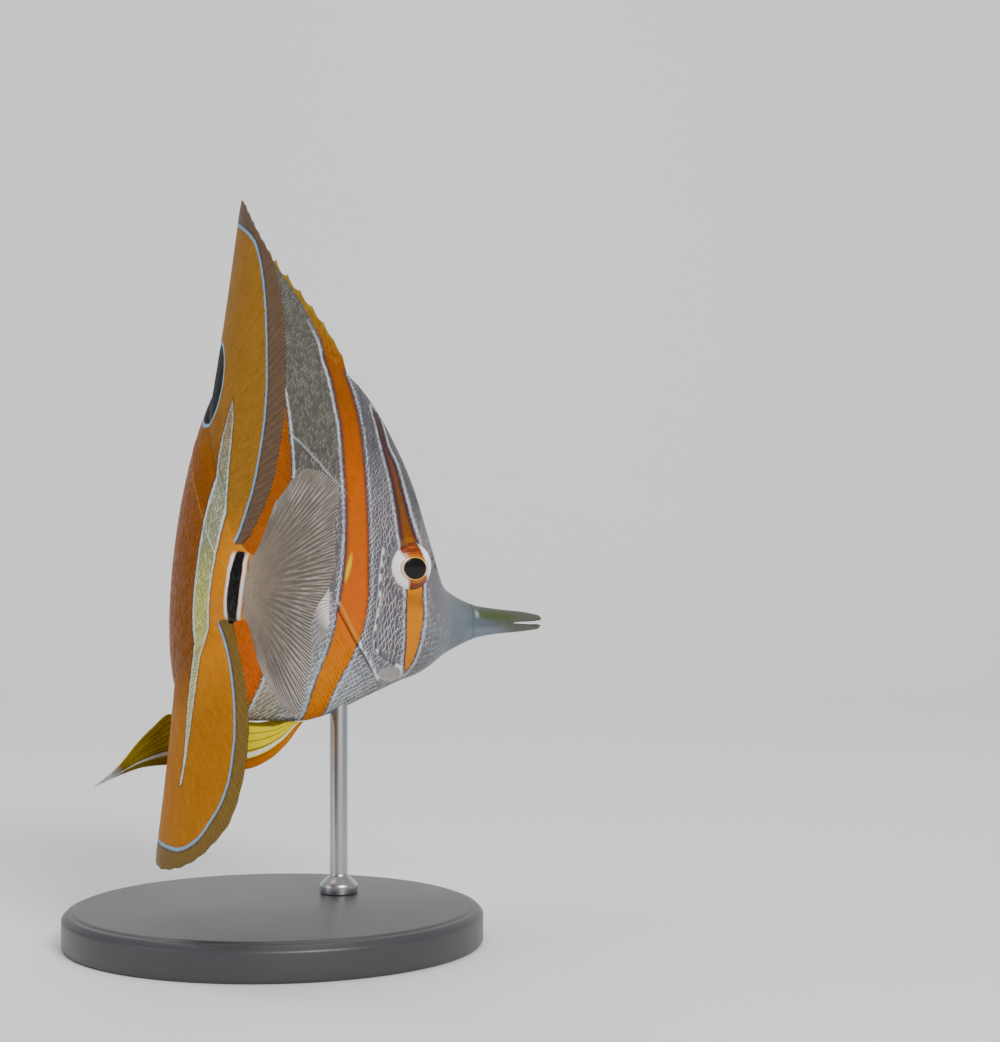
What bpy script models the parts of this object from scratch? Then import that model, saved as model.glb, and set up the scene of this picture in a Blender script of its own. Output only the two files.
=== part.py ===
# Copperband butterflyfish, a life-size still model on a plain display stand.
# The fish is described straight, as a fish on a chart, and then bent into its pose.
# Straight places are in millimetres: x back from the tip of the snout, h up, w to the fish's right.
# The finished meshes are in metres, +Z up, with the origin under the middle of the stand's base.

import math

import bmesh
import bpy
import numpy as np
from mathutils import Vector

MM = 0.001
GAP = 0.3

# Pose: the body's turn, its lean, and where a middle point of the flank stands over the floor
HEAD_TURN = 211.6
BODY_TURN = 99.8
TURN_MIDDLE = 95.2
TURN_SPREAD = 16.0
TURN_START = 20.0
TURN_END = 140.0
NOSE_DOWN = 7.1
ROLL = -2.25
MIDDLE_X = 75.0
MIDDLE_H = 12.0
MIDDLE_AT = (-3.0, 2.0, 88.0)

# Outline of the body seen from its side, and its half width seen from above
BACK = [(0, 1.6), (6, 2.0), (12, 1.9), (18, 2.0), (21, 2.6), (24, 3.5), (27, 5.0), (29.2, 7.0),
        (31, 10.2), (33, 14.6), (36, 20.8), (39.3, 27.6), (44.8, 36.0), (52.3, 44.6), (57, 48.2),
        (64, 51), (74, 52), (86, 48.5), (97, 41), (107, 31.5), (116, 21.5), (123, 13), (128, 7.6),
        (132, 6.3), (135, 6.2)]
BELLY = [(0, -1.5), (6, -2.8), (12, -3.9), (17, -5.2), (21.4, -7.3), (25.5, -9.9), (31, -14.6),
         (36, -17), (44.6, -21.6), (53, -26), (59, -27.8), (66, -28.3), (75, -28.8), (86, -28),
         (96, -25), (106, -20), (115, -13.8), (122, -9.2), (128, -6.9), (132, -6.2), (135, -6.1)]
HALF_WIDTH = [(0, 1.1), (6, 1.7), (12, 2.2), (18, 2.9), (22, 4.0), (26, 5.5), (31, 7.5), (38, 9.0),
              (48, 9.8), (60, 9.8), (75, 8.1), (90, 5.8), (105, 4.4), (118, 3.2), (126, 2.8),
              (132, 2.1), (135, 1.4)]
SNOUT_ROUNDNESS = 1.0
FLANK_ROUNDNESS = 1.25
ROUNDNESS_SPAN = (20.0, 45.0)
RING = 32
RING_ROUNDS = 60

# Rear edge of the gill cover and the line above it where the head ends: h, then x
GILL_LINE = [(-22, 39.0), (-19.2, 41.0), (-16.8, 44.1), (-12.2, 48.8), (-8.7, 52.4), (-5.7, 55.1),
             (-1.7, 58.5), (2, 60), (7, 60.3), (14, 59), (22, 57), (30, 55.8), (40, 55.4), (52, 55.6)]
GILL_TOP = 19.0
GILL_FOOT = -16.5
GILL_FADE = 4.0
COVER_RISE = 0.6
COVER_REACH = 13.0
SLIT_DEPTH = 0.45
SLIT_REACH = 2.6

# Lengths of the body: mouth, snout, head, three lengths of trunk and the tail's stalk
MOUTH_END = 7.2
SNOUT_END = 20.0
TRUNK_CUTS = (80.0, 102.0, 126.6)
STALK_END = 133.2
SNOUT_RINGS = 5
HEAD_RINGS = 16
TRUNK_FRONT_SHARES = (0, 0.06, 0.14, 0.28, 0.46, 0.64, 0.82, 1)
TRUNK_MIDDLE_RINGS = 7
TRUNK_REAR_RINGS = 8
STALK_RINGS = 4
MOUTH_LINE = [(0, 0.1), (3, -0.35), (8, -0.8)]
MOUTH_OPEN = [(0, 0.9), (4, 0.5), (8, 0.3)]
JAW_STATIONS = ((0.0, 0.35), (0.35, 0.72), (1.1, 0.93), (2.4, 1.0), (4.8, 1.0), (MOUTH_END, 1.0))
JAW_MIDDLE = 0.45
JAW_FULLNESS = 0.8
LIP_INSET = 0.96

# Eyes and nostrils
EYE = (40.8, 8.8)
EYE_RADIUS = 5.5
EYE_DEPTH = 3.0
EYE_SINK = 1.3
EYE_SEGMENTS = 20
EYE_RINGS = 12
NOSTRILS = ((33.6, 9.6, 0.55), (35.0, 11.6, 0.75))

# Fins of the mid plane: outlines of the tips, from front to rear
SPINE_TIPS = [(60.4, 53.2), (63, 56.3), (66, 59.5), (69.4, 62.6), (73, 65.5), (76.8, 68.2),
              (80.6, 70.7), (84.4, 73), (88.2, 75)]
SPINE_ROOTS = (58.2, 83.0)
SOFT_DORSAL = [(88.8, 75.3), (96, 78.2), (101.5, 79.2), (107, 78), (112, 75.2), (116.6, 71.8),
               (121, 68.4), (124.9, 65.2), (128.3, 60.5), (131.2, 54.2), (133.6, 47.5), (135.3, 40),
               (136.2, 31.8), (135.7, 23.6), (134.0, 17.2), (131.6, 13.0), (129.4, 9.8)]
SOFT_DORSAL_ROOTS = (83.5, 126.2)
SOFT_DORSAL_RAYS = 29
SOFT_DORSAL_SPLIT = 14
ANAL_SPINE_TIPS = [(77, -37), (81.6, -44.6), (87.4, -51)]
ANAL_SPINE_ROOTS = (74.0, 82.0)
SOFT_ANAL = [(88.0, -51.3), (96, -55.8), (102, -57.6), (110, -58.2), (118, -56.9), (125.2, -54),
             (131.3, -49.5), (135.5, -44.9), (137.6, -38.8), (138.3, -33.2), (137.9, -27.8),
             (136.5, -22.4), (134.3, -17.8), (132.0, -14.0), (129.4, -10.2)]
SOFT_ANAL_ROOTS = (82.6, 126.2)
SOFT_ANAL_RAYS = 20
SOFT_ANAL_SPLIT = 9
CAUDAL = [(136.6, 17.2), (141.6, 22.0), (146.4, 24.0), (151.8, 22.8), (155.9, 20.2), (156.9, 14.4),
          (157.5, 6), (157.2, -1), (155.8, -6.5), (154.6, -11), (154.6, -15.6), (154.6, -19.7),
          (152.6, -22.3), (148.8, -22), (143.7, -18.7), (138.2, -14.2)]
CAUDAL_ROOT_H = 5.4
CAUDAL_RAYS = 17
FIN_ROWS = 6
ROW_CROWDING = 0.9
FIN_CLEARANCE = 0.45
SHEATH = 1.1
MEMBRANE = 0.5
RAY_RISE = 0.4
SPINE_RISE = 0.9
RAY_TAPER = 0.7
SPINE_STEPS = (0.0, 0.3, 0.5, 0.7)
SPINE_DIPS = (0.0, 0.075, 0.1, 0.075)
RAY_STEPS = (0.0, 0.5)
SPLIT_REACH = 2.0

# Paired fins
PECTORAL_TOP = (61.8, 1.6)
PECTORAL_FOOT = (60.2, -5.6)
PECTORAL_RAYS = 14
PECTORAL_LENGTHS = [(0, 19.0), (0.18, 23.0), (0.5, 19.0), (1, 10.0)]
PECTORAL_ANGLES = (20.0, -72.0)
PECTORAL_SPREAD = 0.05
PECTORAL_CLEARANCE = 0.9
PECTORAL_ROWS = 6
PECTORAL_TAPER = 0.6
PELVIC_ROOT_X = 59.6
PELVIC_ROOT_W = 1.9
PELVIC_SPREAD_W = 4.6
PELVIC_SPREAD_REACH = 16.0
PELVIC_TIP = 0.985
PELVIC_ROWS = 12
PELVIC_COLUMNS = 11
PELVIC_LEADING = [(59.8, -28.9), (63.6, -33), (67.4, -36.1), (73.3, -38.4), (80, -39.4), (87.5, -39.9),
                  (93, -40.8), (98, -42.8), (103.7, -45.8)]
PELVIC_TRAILING = [(62.2, -29.0), (74, -29.3), (82, -29.2), (88.2, -29.0), (91.7, -32), (95.1, -36),
                   (98.0, -40.2), (103.7, -45.8)]
PELVIC_HANG_X = 61.0

# Stand
BASE_RADIUS = 45.0
BASE_THICK = 8.0
BASE_CHAMFER = 1.2
BASE_STEPS = 72
ROD_X = 50.0
ROD_RADIUS = 2.0
ROD_STEPS = 24
ROD_OVERLAP = 6.0
COLLAR_RADIUS = 4.2
COLLAR_HEIGHT = 2.6
COLLAR_SLOPE = 1.5


def curve_through(points):
    """A smooth function through the points that never overshoots them."""
    xs, ys = np.array(points, float).T
    step = np.diff(xs)
    slope = np.diff(ys) / step
    tangent = np.zeros(len(xs))
    for i in range(1, len(xs) - 1):
        if slope[i - 1] * slope[i] > 0:
            near = 2 * step[i] + step[i - 1]
            far = step[i] + 2 * step[i - 1]
            tangent[i] = (near + far) / (near / slope[i - 1] + far / slope[i])
    tangent[0] = slope[0]
    tangent[-1] = slope[-1]

    def value(x):
        x = np.clip(np.asarray(x, float), xs[0], xs[-1])
        i = np.clip(np.searchsorted(xs, x) - 1, 0, len(step) - 1)
        t = (x - xs[i]) / step[i]
        rise = ys[i] * (1 + 2 * t) * (1 - t) ** 2 + ys[i + 1] * t * t * (3 - 2 * t)
        lean = tangent[i] * t * (1 - t) ** 2 - tangent[i + 1] * t * t * (1 - t)
        return rise + lean * step[i]

    return value


back = curve_through(BACK)
belly = curve_through(BELLY)
half_width = curve_through(HALF_WIDTH)
gill_line = curve_through(GILL_LINE)
mouth_line = curve_through(MOUTH_LINE)
mouth_open = curve_through(MOUTH_OPEN)


def bell(x):
    """A smooth step from 0 to 1 round the middle of the turn."""
    return 0.5 * (1 + math.erf((x - TURN_MIDDLE) / (TURN_SPREAD * math.sqrt(2))))


def heading(x):
    """Direction that runs back along the body at x, in radians about +Z."""
    share = (bell(x) - bell(TURN_START)) / (bell(TURN_END) - bell(TURN_START))
    return math.radians(HEAD_TURN + BODY_TURN * min(1.0, max(0.0, share)))


SPAN = np.linspace(-5.0, 175.0, 721)
HEADINGS = np.array([heading(x) for x in SPAN])
STRIDE = SPAN[1] - SPAN[0]
MID_X = np.concatenate([[0], np.cumsum(np.cos(HEADINGS[:-1] / 2 + HEADINGS[1:] / 2))]) * STRIDE
MID_Y = np.concatenate([[0], np.cumsum(np.sin(HEADINGS[:-1] / 2 + HEADINGS[1:] / 2))]) * STRIDE


def tilt_matrix():
    """The lean of the whole fish: nose down, then rolled to one side."""
    a = math.radians(NOSE_DOWN)
    b = math.radians(ROLL)
    nose = np.array([[math.cos(a), 0, math.sin(a)], [0, 1, 0], [-math.sin(a), 0, math.cos(a)]])
    lean = np.array([[1, 0, 0], [0, math.cos(b), -math.sin(b)], [0, math.sin(b), math.cos(b)]])
    return lean @ nose


TILT = tilt_matrix()


def pose(points, hang_x=None):
    """Straight places in millimetres to places in the model in metres.

    With hang_x, what lies behind that x runs on straight from it and doesn't follow the bend.
    """
    p = np.array(points, float)
    x = p[:, 0]
    ahead = np.zeros(len(x))
    if hang_x is not None:
        ahead = np.maximum(0.0, x - hang_x)
        x = np.minimum(x, hang_x)
    turn = np.interp(x, SPAN, HEADINGS)
    flat_x = np.interp(x, SPAN, MID_X) - p[:, 2] * np.sin(turn) + ahead * np.cos(turn)
    flat_y = np.interp(x, SPAN, MID_Y) + p[:, 2] * np.cos(turn) + ahead * np.sin(turn)
    origin = (np.interp(MIDDLE_X, SPAN, MID_X), np.interp(MIDDLE_X, SPAN, MID_Y), MIDDLE_H)
    bent = np.stack([flat_x, flat_y, p[:, 1]], 1) - origin
    return (bent @ TILT.T + MIDDLE_AT) * MM


def fade(value, low, high):
    """0 below low, 1 above high and smooth between them."""
    t = np.clip((value - low) / (high - low), 0, 1)
    return t * t * (3 - 2 * t)


def roundness(x):
    """Exponent of the section's side: 1 is an ellipse and more is flatter towards the edges."""
    return SNOUT_ROUNDNESS + (FLANK_ROUNDNESS - SNOUT_ROUNDNESS) * fade(x, *ROUNDNESS_SPAN)


def section(x, angle):
    """Point of the flank at x; the angle runs from the back down the right side."""
    top = back(x)
    foot = belly(x)
    h = (top + foot) / 2 + (top - foot) / 2 * np.cos(angle)
    side = np.sin(angle)
    w = np.sign(side) * np.abs(side) ** roundness(x) * half_width(x)
    return h, w


def flank_width(x, h):
    """Half width of the body at a place on its flank."""
    top = back(x)
    foot = belly(x)
    u = np.clip((h - (top + foot) / 2) / ((top - foot) / 2), -1, 1)
    return half_width(x) * (1 - u * u) ** (roundness(x) / 2)


def in_gill_height(h):
    """1 at the heights of the gill cover, fading out above and below them."""
    return fade(h, GILL_FOOT, GILL_FOOT + GILL_FADE) * (1 - fade(h, GILL_TOP - GILL_FADE, GILL_TOP))


ANGLES = np.linspace(0, 2 * math.pi, RING, endpoint=False)


def ring_between(front, rear, share, swell):
    """One ring of the body; front and rear give x for a height h, and share runs from 0 to 1."""
    x = np.full(RING, (SNOUT_END + TRUNK_CUTS[0]) / 2)
    for _ in range(RING_ROUNDS):
        h, _w = section(x, ANGLES)
        x = 0.5 * x + 0.5 * (front(h) + share * (rear(h) - front(h)))
    h, w = section(x, ANGLES)
    w = w + np.sign(np.round(w, 6)) * swell(x, h) * np.abs(np.sin(ANGLES))
    return np.stack([x, h, w], 1)


def level(x):
    """An end of a length of the body that stands at one x for every height."""
    def end(h):
        return np.full(np.shape(h), float(x))

    return end


def behind_gill(h):
    """Front end of the trunk, a gap behind the gill cover."""
    return gill_line(h) + GAP


def cover_swell(x, h):
    """Rise of the gill cover towards its free edge."""
    near = fade(x, gill_line(h) - COVER_REACH, gill_line(h) - 1.0)
    return COVER_RISE * near * in_gill_height(h)


def slit_swell(x, h):
    """Step down of the trunk where the gill cover lies over it."""
    near = 1 - fade(x, gill_line(h) + GAP, gill_line(h) + SLIT_REACH)
    return -SLIT_DEPTH * near * in_gill_height(h)


def no_swell(x, h):
    """No rise, for the plain lengths of the body."""
    return np.zeros(np.shape(h))


def link(collection, mesh, name, look):
    """A new object in the collection, with its material if it has one."""
    thing = bpy.data.objects.new(name, mesh)
    collection.objects.link(thing)
    if look is not None:
        mesh.materials.append(look)
    return thing


def finish_mesh(bm, name):
    """A smooth mesh with its faces turned outward."""
    bmesh.ops.recalc_face_normals(bm, faces=bm.faces[:])
    if bm.calc_volume(signed=True) < 0:
        bmesh.ops.reverse_faces(bm, faces=bm.faces[:])
    mesh = bpy.data.meshes.new(name)
    bm.to_mesh(mesh)
    bm.free()
    mesh.shade_smooth()
    return mesh


def loft(name, rings, hang_x=None):
    """A closed loft through rings of equal count, with ruled end faces from side to side."""
    bm = bmesh.new()
    count = len(rings[0])
    rows = [[bm.verts.new(Vector(p)) for p in pose(ring, hang_x)] for ring in rings]
    for near, far in zip(rows, rows[1:]):
        for j in range(count):
            k = (j + 1) % count
            bm.faces.new((near[j], near[k], far[k], far[j]))
    for row in (rows[0], rows[-1]):
        for j in range(count // 2):
            corners = (row[j], row[j + 1], row[count - j - 1], row[(count - j) % count])
            if j > 0:
                bm.faces.new((corners[0], corners[2], corners[3]))
            if j < count // 2 - 1:
                bm.faces.new((corners[0], corners[1], corners[2]))
    return finish_mesh(bm, name)


def material(name, colour, rough, metal=0.0):
    """A plain material of one colour."""
    look = bpy.data.materials.new(name)
    look.use_nodes = True
    shader = look.node_tree.nodes["Principled BSDF"]
    shader.inputs["Base Color"].default_value = (*colour, 1.0)
    shader.inputs["Roughness"].default_value = rough
    shader.inputs["Metallic"].default_value = metal
    return look


def ellipsoid(name, centre, radii):
    """A ball with its own radius along x, h and w, at a straight place."""
    bm = bmesh.new()
    bmesh.ops.create_uvsphere(bm, u_segments=EYE_SEGMENTS, v_segments=EYE_RINGS, radius=1.0)
    for v in bm.verts:
        place = [centre[i] + radii[i] * v.co[i] for i in range(3)]
        v.co = Vector(pose([place])[0])
    return finish_mesh(bm, name)


def eye_centre(side):
    """Middle of an eyeball; side is +1 on the right and -1 on the left."""
    return (EYE[0], EYE[1], side * (flank_width(*EYE) - EYE_SINK))


def jaw_rings(upper):
    """Rings of one jaw: rounded outside and flat along the mouth."""
    rings = []
    for x, share in JAW_STATIONS:
        lips = mouth_line(x) + (0.5 if upper else -0.5) * mouth_open(x)
        edge = back(x) if upper else belly(x)
        middle = lips + (edge - lips) * JAW_MIDDLE
        ring = []
        for a in ANGLES[::2]:
            reach = math.cos(a) * (1 if upper else -1)
            h = lips + (edge - lips) * max(0.0, reach) ** JAW_FULLNESS
            w = half_width(x) * math.sin(a) * (1.0 if reach > 0 else LIP_INSET)
            ring.append((x, middle + (h - middle) * share, w * share))
        rings.append(np.array(ring))
    return rings


def sheet(name, grid, thick, hang_x=None):
    """Middle surface of a fin from a grid of straight places, as triangles, and its vertex weights."""
    rows = len(grid)
    columns = len(grid[0])
    bm = bmesh.new()
    bmesh.ops.create_grid(bm, x_segments=columns - 1, y_segments=rows - 1, size=1.0)
    bm.verts.ensure_lookup_table()
    flat = sorted(bm.verts, key=lambda v: (round(v.co.y, 4), round(v.co.x, 4)))
    places = pose(np.array(grid, float).reshape(-1, 3), hang_x)
    for v, place in zip(flat, places):
        v.co = Vector(place)
    bmesh.ops.triangulate(bm, faces=bm.faces[:])
    order = [v.index for v in flat]
    mesh = bpy.data.meshes.new(name)
    bm.to_mesh(mesh)
    bm.free()
    mesh.shade_smooth()
    widest = float(np.max(thick))
    weights = [(i, float(t) / widest) for i, t in zip(order, np.array(thick).ravel())]
    return mesh, widest, weights


def add_sheet(collection, name, grid, thick, look, hang_x=None):
    """A fin with the thickness given at each place of its grid."""
    mesh, widest, weights = sheet(name, grid, thick, hang_x)
    thing = link(collection, mesh, name, look)
    group = thing.vertex_groups.new(name="thickness")
    for index, weight in weights:
        group.add([index], weight, "REPLACE")
    solid = thing.modifiers.new("fin thickness", "SOLIDIFY")
    solid.thickness = widest * MM
    solid.offset = 0.0
    solid.vertex_group = group.name
    return thing


def along(points):
    """A function of a share from 0 to 1 along a smooth line through the points."""
    p = np.array(points, float)
    lengths = np.concatenate([[0], np.cumsum(np.linalg.norm(np.diff(p, axis=0), axis=1))])
    shares = lengths / lengths[-1]
    xs = curve_through(list(zip(shares, p[:, 0])))
    hs = curve_through(list(zip(shares, p[:, 1])))

    def place(share):
        return np.array([xs(share), hs(share)])

    return place


def ray_fin(roots, tips, first, last, steps, dips, rise):
    """Grid and thickness of a fin of the mid plane between two rays.

    roots and tips give a place (x, h) for a ray number. steps are the places from one ray
    towards the next, and dips how far the membrane's edge falls short of the tips there.
    """
    columns = [(ray + step, step, dip) for ray in range(first, last) for step, dip in zip(steps, dips)]
    columns.append((last, 0.0, 0.0))
    grid = []
    thick = []
    for share in np.linspace(0, 1, FIN_ROWS) ** ROW_CROWDING:
        row = []
        row_thick = []
        for number, step, dip in columns:
            root = roots(number)
            x, h = root + (tips(number) - root) * share * (1 - dip)
            row.append((x, h, 0.0))
            sheath = SHEATH * (1 - share) ** 2
            ridge = rise * (1 - RAY_TAPER * share) if step == 0 else 0.0
            row_thick.append(MEMBRANE + sheath + ridge)
        grid.append(row)
        thick.append(row_thick)
    return grid, thick


def spine_fin(roots, tips, count):
    """Grid and thickness of a fin of stiff spines with a scalloped edge between them."""
    return ray_fin(roots, tips, 0, count - 1, SPINE_STEPS, SPINE_DIPS, SPINE_RISE)


def soft_fin(roots, tips, first, last):
    """Grid and thickness of a fin of soft rays between two of them."""
    return ray_fin(roots, tips, first, last, RAY_STEPS, (0.0, 0.0), RAY_RISE)


def edge_roots(span, count, edge, sign):
    """Roots of a fin's rays along the back or the belly; sign is +1 above the body and -1 below."""
    def root(number):
        x = span[0] + (span[1] - span[0]) * number / (count - 1)
        return np.array([x, float(edge(x)) + sign * FIN_CLEARANCE])

    return root


def tip_line(points, count):
    """Tips of a fin's rays along its outline."""
    line = along(points)

    def tip(number):
        return line(number / (count - 1))

    return tip


def flesh(collection):
    """Jaws, snout, head, trunk and the stalk of the tail."""
    for name, upper in (("jaw_upper", True), ("jaw_lower", False)):
        link(collection, loft(name, jaw_rings(upper)), name, material(name, (0.55, 0.57, 0.62), 0.4))

    first, second, third = TRUNK_CUTS
    half = GAP / 2
    grey = (0.62, 0.60, 0.58)
    orange = (0.80, 0.38, 0.07)
    lengths = (("snout", level(MOUTH_END + GAP), level(SNOUT_END - half), no_swell,
                np.linspace(0, 1, SNOUT_RINGS), grey),
               ("head", level(SNOUT_END + half), gill_line, cover_swell,
                np.linspace(0, 1, HEAD_RINGS), grey),
               ("trunk_front", behind_gill, level(first - half), slit_swell,
                TRUNK_FRONT_SHARES, grey),
               ("trunk_middle", level(first + half), level(second - half), no_swell,
                np.linspace(0, 1, TRUNK_MIDDLE_RINGS), orange),
               ("trunk_rear", level(second + half), level(third - half), no_swell,
                np.linspace(0, 1, TRUNK_REAR_RINGS), orange),
               ("tail_stalk", level(third + half), level(STALK_END), no_swell,
                np.linspace(0, 1, STALK_RINGS), orange))
    made = {}
    for name, front, rear, swell, shares, colour in lengths:
        rings = [ring_between(front, rear, share, swell) for share in shares]
        made[name] = link(collection, loft(name, rings), name, material(name, colour, 0.42))
    return made["head"], made["trunk_front"]


def eyes(collection, cutters, head):
    """Eyeballs in sockets, and the two pits of each nostril."""
    for side, name in ((1, "eye_right"), (-1, "eye_left")):
        look = material(name, (0.03, 0.03, 0.04), 0.08)
        radii = (EYE_RADIUS, EYE_RADIUS, EYE_DEPTH)
        link(collection, ellipsoid(name, eye_centre(side), radii), name, look)
        wide = tuple(r + GAP for r in radii)
        link(cutters, ellipsoid(name + "_socket", eye_centre(side), wide), name + "_socket", None)
        for number, (x, h, radius) in enumerate(NOSTRILS):
            centre = (x, h, side * flank_width(x, h))
            pit = name + "_nostril_%d" % number
            link(cutters, ellipsoid(pit, centre, (radius, radius, radius)), pit, None)
    for cutter in cutters.objects:
        cutter.hide_render = True
        cutter.display_type = "WIRE"
    cut = head.modifiers.new("sockets", "BOOLEAN")
    cut.operation = "DIFFERENCE"
    cut.operand_type = "COLLECTION"
    cut.collection = cutters
    cut.solver = "EXACT"


def middle_fins(collection):
    """Dorsal, anal and tail fins, with a ridge for each spine and ray."""
    spines = len(SPINE_TIPS)
    grid, thick = spine_fin(edge_roots(SPINE_ROOTS, spines, back, 1), tip_line(SPINE_TIPS, spines),
                            spines)
    add_sheet(collection, "dorsal_spines", grid, thick, material("dorsal_spines", (0.72, 0.5, 0.1), 0.5))

    roots = edge_roots(SOFT_DORSAL_ROOTS, SOFT_DORSAL_RAYS, back, 1)
    tips = tip_line(SOFT_DORSAL, SOFT_DORSAL_RAYS)
    ends = (("dorsal_soft_front", 0, SOFT_DORSAL_SPLIT),
            ("dorsal_soft_rear", SOFT_DORSAL_SPLIT, SOFT_DORSAL_RAYS - 1))
    for name, first, last in ends:
        split_fin(collection, name, roots, tips, first, last, (0.80, 0.46, 0.12))

    spines = len(ANAL_SPINE_TIPS)
    grid, thick = spine_fin(edge_roots(ANAL_SPINE_ROOTS, spines, belly, -1),
                            tip_line(ANAL_SPINE_TIPS, spines), spines)
    add_sheet(collection, "anal_spines", grid, thick, material("anal_spines", (0.75, 0.42, 0.08), 0.5))

    roots = edge_roots(SOFT_ANAL_ROOTS, SOFT_ANAL_RAYS, belly, -1)
    tips = tip_line(SOFT_ANAL, SOFT_ANAL_RAYS)
    ends = (("anal_soft_front", 0, SOFT_ANAL_SPLIT),
            ("anal_soft_rear", SOFT_ANAL_SPLIT, SOFT_ANAL_RAYS - 1))
    for name, first, last in ends:
        split_fin(collection, name, roots, tips, first, last, (0.80, 0.46, 0.10))

    def tail_root(number):
        share = number / (CAUDAL_RAYS - 1)
        return np.array([STALK_END + GAP, CAUDAL_ROOT_H * (1 - 2 * share)])

    grid, thick = soft_fin(tail_root, tip_line(CAUDAL, CAUDAL_RAYS), 0, CAUDAL_RAYS - 1)
    add_sheet(collection, "caudal_fin", grid, thick, material("caudal_fin", (0.55, 0.5, 0.46), 0.5))


def split_fin(collection, name, roots, tips, first, last, colour):
    """One length of a long soft fin; a length that follows another starts a gap behind it."""
    shift = np.array([GAP if first > 0 else 0.0, 0.0])

    def moved(line):
        return lambda number: line(number) + shift * max(0.0, 1 - (number - first) / SPLIT_REACH)

    grid, thick = soft_fin(moved(roots), moved(tips), first, last)
    add_sheet(collection, name, grid, thick, material(name, colour, 0.5))


def pectoral_fin(collection, name, side):
    """A clear fan that lies back along the flank."""
    lengths = curve_through(PECTORAL_LENGTHS)
    grid = []
    thick = []
    numbers = np.arange(0, PECTORAL_RAYS - 0.5, 0.5)
    for share in np.linspace(0, 1, PECTORAL_ROWS):
        row = []
        row_thick = []
        for number in numbers:
            t = number / (PECTORAL_RAYS - 1)
            root = np.array(PECTORAL_TOP) * (1 - t) + np.array(PECTORAL_FOOT) * t
            angle = math.radians(PECTORAL_ANGLES[0] * (1 - t) + PECTORAL_ANGLES[1] * t)
            reach = float(lengths(t)) * share
            x = root[0] + reach * math.cos(angle)
            h = root[1] + reach * math.sin(angle)
            w = float(flank_width(x, h)) + PECTORAL_CLEARANCE + PECTORAL_SPREAD * reach
            row.append((x, h, side * w))
            ridge = RAY_RISE * (1 - PECTORAL_TAPER * share) if number == int(number) else 0.0
            row_thick.append(MEMBRANE + ridge)
        grid.append(row)
        thick.append(row_thick)
    add_sheet(collection, name, grid, thick, material(name, (0.75, 0.75, 0.72), 0.4))


def pelvic_fin(collection, name, side, hang_x):
    """A long pointed fin of one spine and five rays below the belly."""
    leading = along(PELVIC_LEADING)
    trailing = along(PELVIC_TRAILING)
    grid = []
    thick = []
    across = np.linspace(0, 1, PELVIC_COLUMNS)
    for share in np.linspace(0, PELVIC_TIP, PELVIC_ROWS):
        row = []
        row_thick = []
        for number, t in enumerate(across):
            place = leading(share) * (1 - t) + trailing(share) * t
            out = fade(place[0], PELVIC_ROOT_X, PELVIC_ROOT_X + PELVIC_SPREAD_REACH)
            w = PELVIC_ROOT_W + (PELVIC_SPREAD_W - PELVIC_ROOT_W) * float(out)
            row.append((place[0], place[1], side * w))
            ridge = (SPINE_RISE if t == 0 else RAY_RISE) * (1 - RAY_TAPER * share)
            row_thick.append(MEMBRANE + (ridge if number % 2 == 0 else 0.0))
        grid.append(row)
        thick.append(row_thick)
    add_sheet(collection, name, grid, thick, material(name, (0.80, 0.62, 0.10), 0.5), hang_x)


def profile_mesh(name, profile):
    """The line of a turned solid, given as radius and height, with its end points on the axis."""
    mesh = bpy.data.meshes.new(name)
    points = [(r * MM, 0.0, z * MM) for r, z in profile]
    edges = [(i, i + 1) for i in range(len(points) - 1)]
    mesh.from_pydata(points, edges, [])
    return mesh


def stand(collection, cutters, trunk):
    """A turned base and one rod whose top follows the belly."""
    profile = [(0, BASE_THICK), (BASE_RADIUS - BASE_CHAMFER, BASE_THICK),
               (BASE_RADIUS, BASE_THICK - BASE_CHAMFER), (BASE_RADIUS, 0), (0, 0)]
    base = link(collection, profile_mesh("stand_base", profile), "stand_base",
                material("stand_base", (0.06, 0.06, 0.065), 0.4))
    foot = pose([(ROD_X, float(belly(ROD_X)), 0.0)])[0] / MM
    start = BASE_THICK + GAP
    top = foot[2] + ROD_OVERLAP
    profile = [(0, top), (ROD_RADIUS, top), (ROD_RADIUS, start + COLLAR_HEIGHT + COLLAR_SLOPE),
               (COLLAR_RADIUS, start + COLLAR_HEIGHT), (COLLAR_RADIUS, start), (0, start)]
    rod = link(collection, profile_mesh("stand_rod", profile), "stand_rod",
               material("stand_rod", (0.62, 0.62, 0.63), 0.3, 1.0))
    rod.location = (foot[0] * MM, foot[1] * MM, 0.0)
    for thing, steps in ((base, BASE_STEPS), (rod, ROD_STEPS)):
        screw = thing.modifiers.new("turned", "SCREW")
        screw.steps = steps
        screw.render_steps = steps
        screw.use_merge_vertices = True
        screw.merge_threshold = 0.0001
    saddle = link(cutters, trunk.data.copy(), "belly_saddle", None)
    saddle.hide_render = True
    saddle.display_type = "WIRE"
    grow = saddle.modifiers.new("clearance", "DISPLACE")
    grow.strength = GAP * MM
    grow.mid_level = 0.0
    cut = rod.modifiers.new("saddle", "BOOLEAN")
    cut.operation = "DIFFERENCE"
    cut.object = saddle
    cut.solver = "EXACT"


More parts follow.
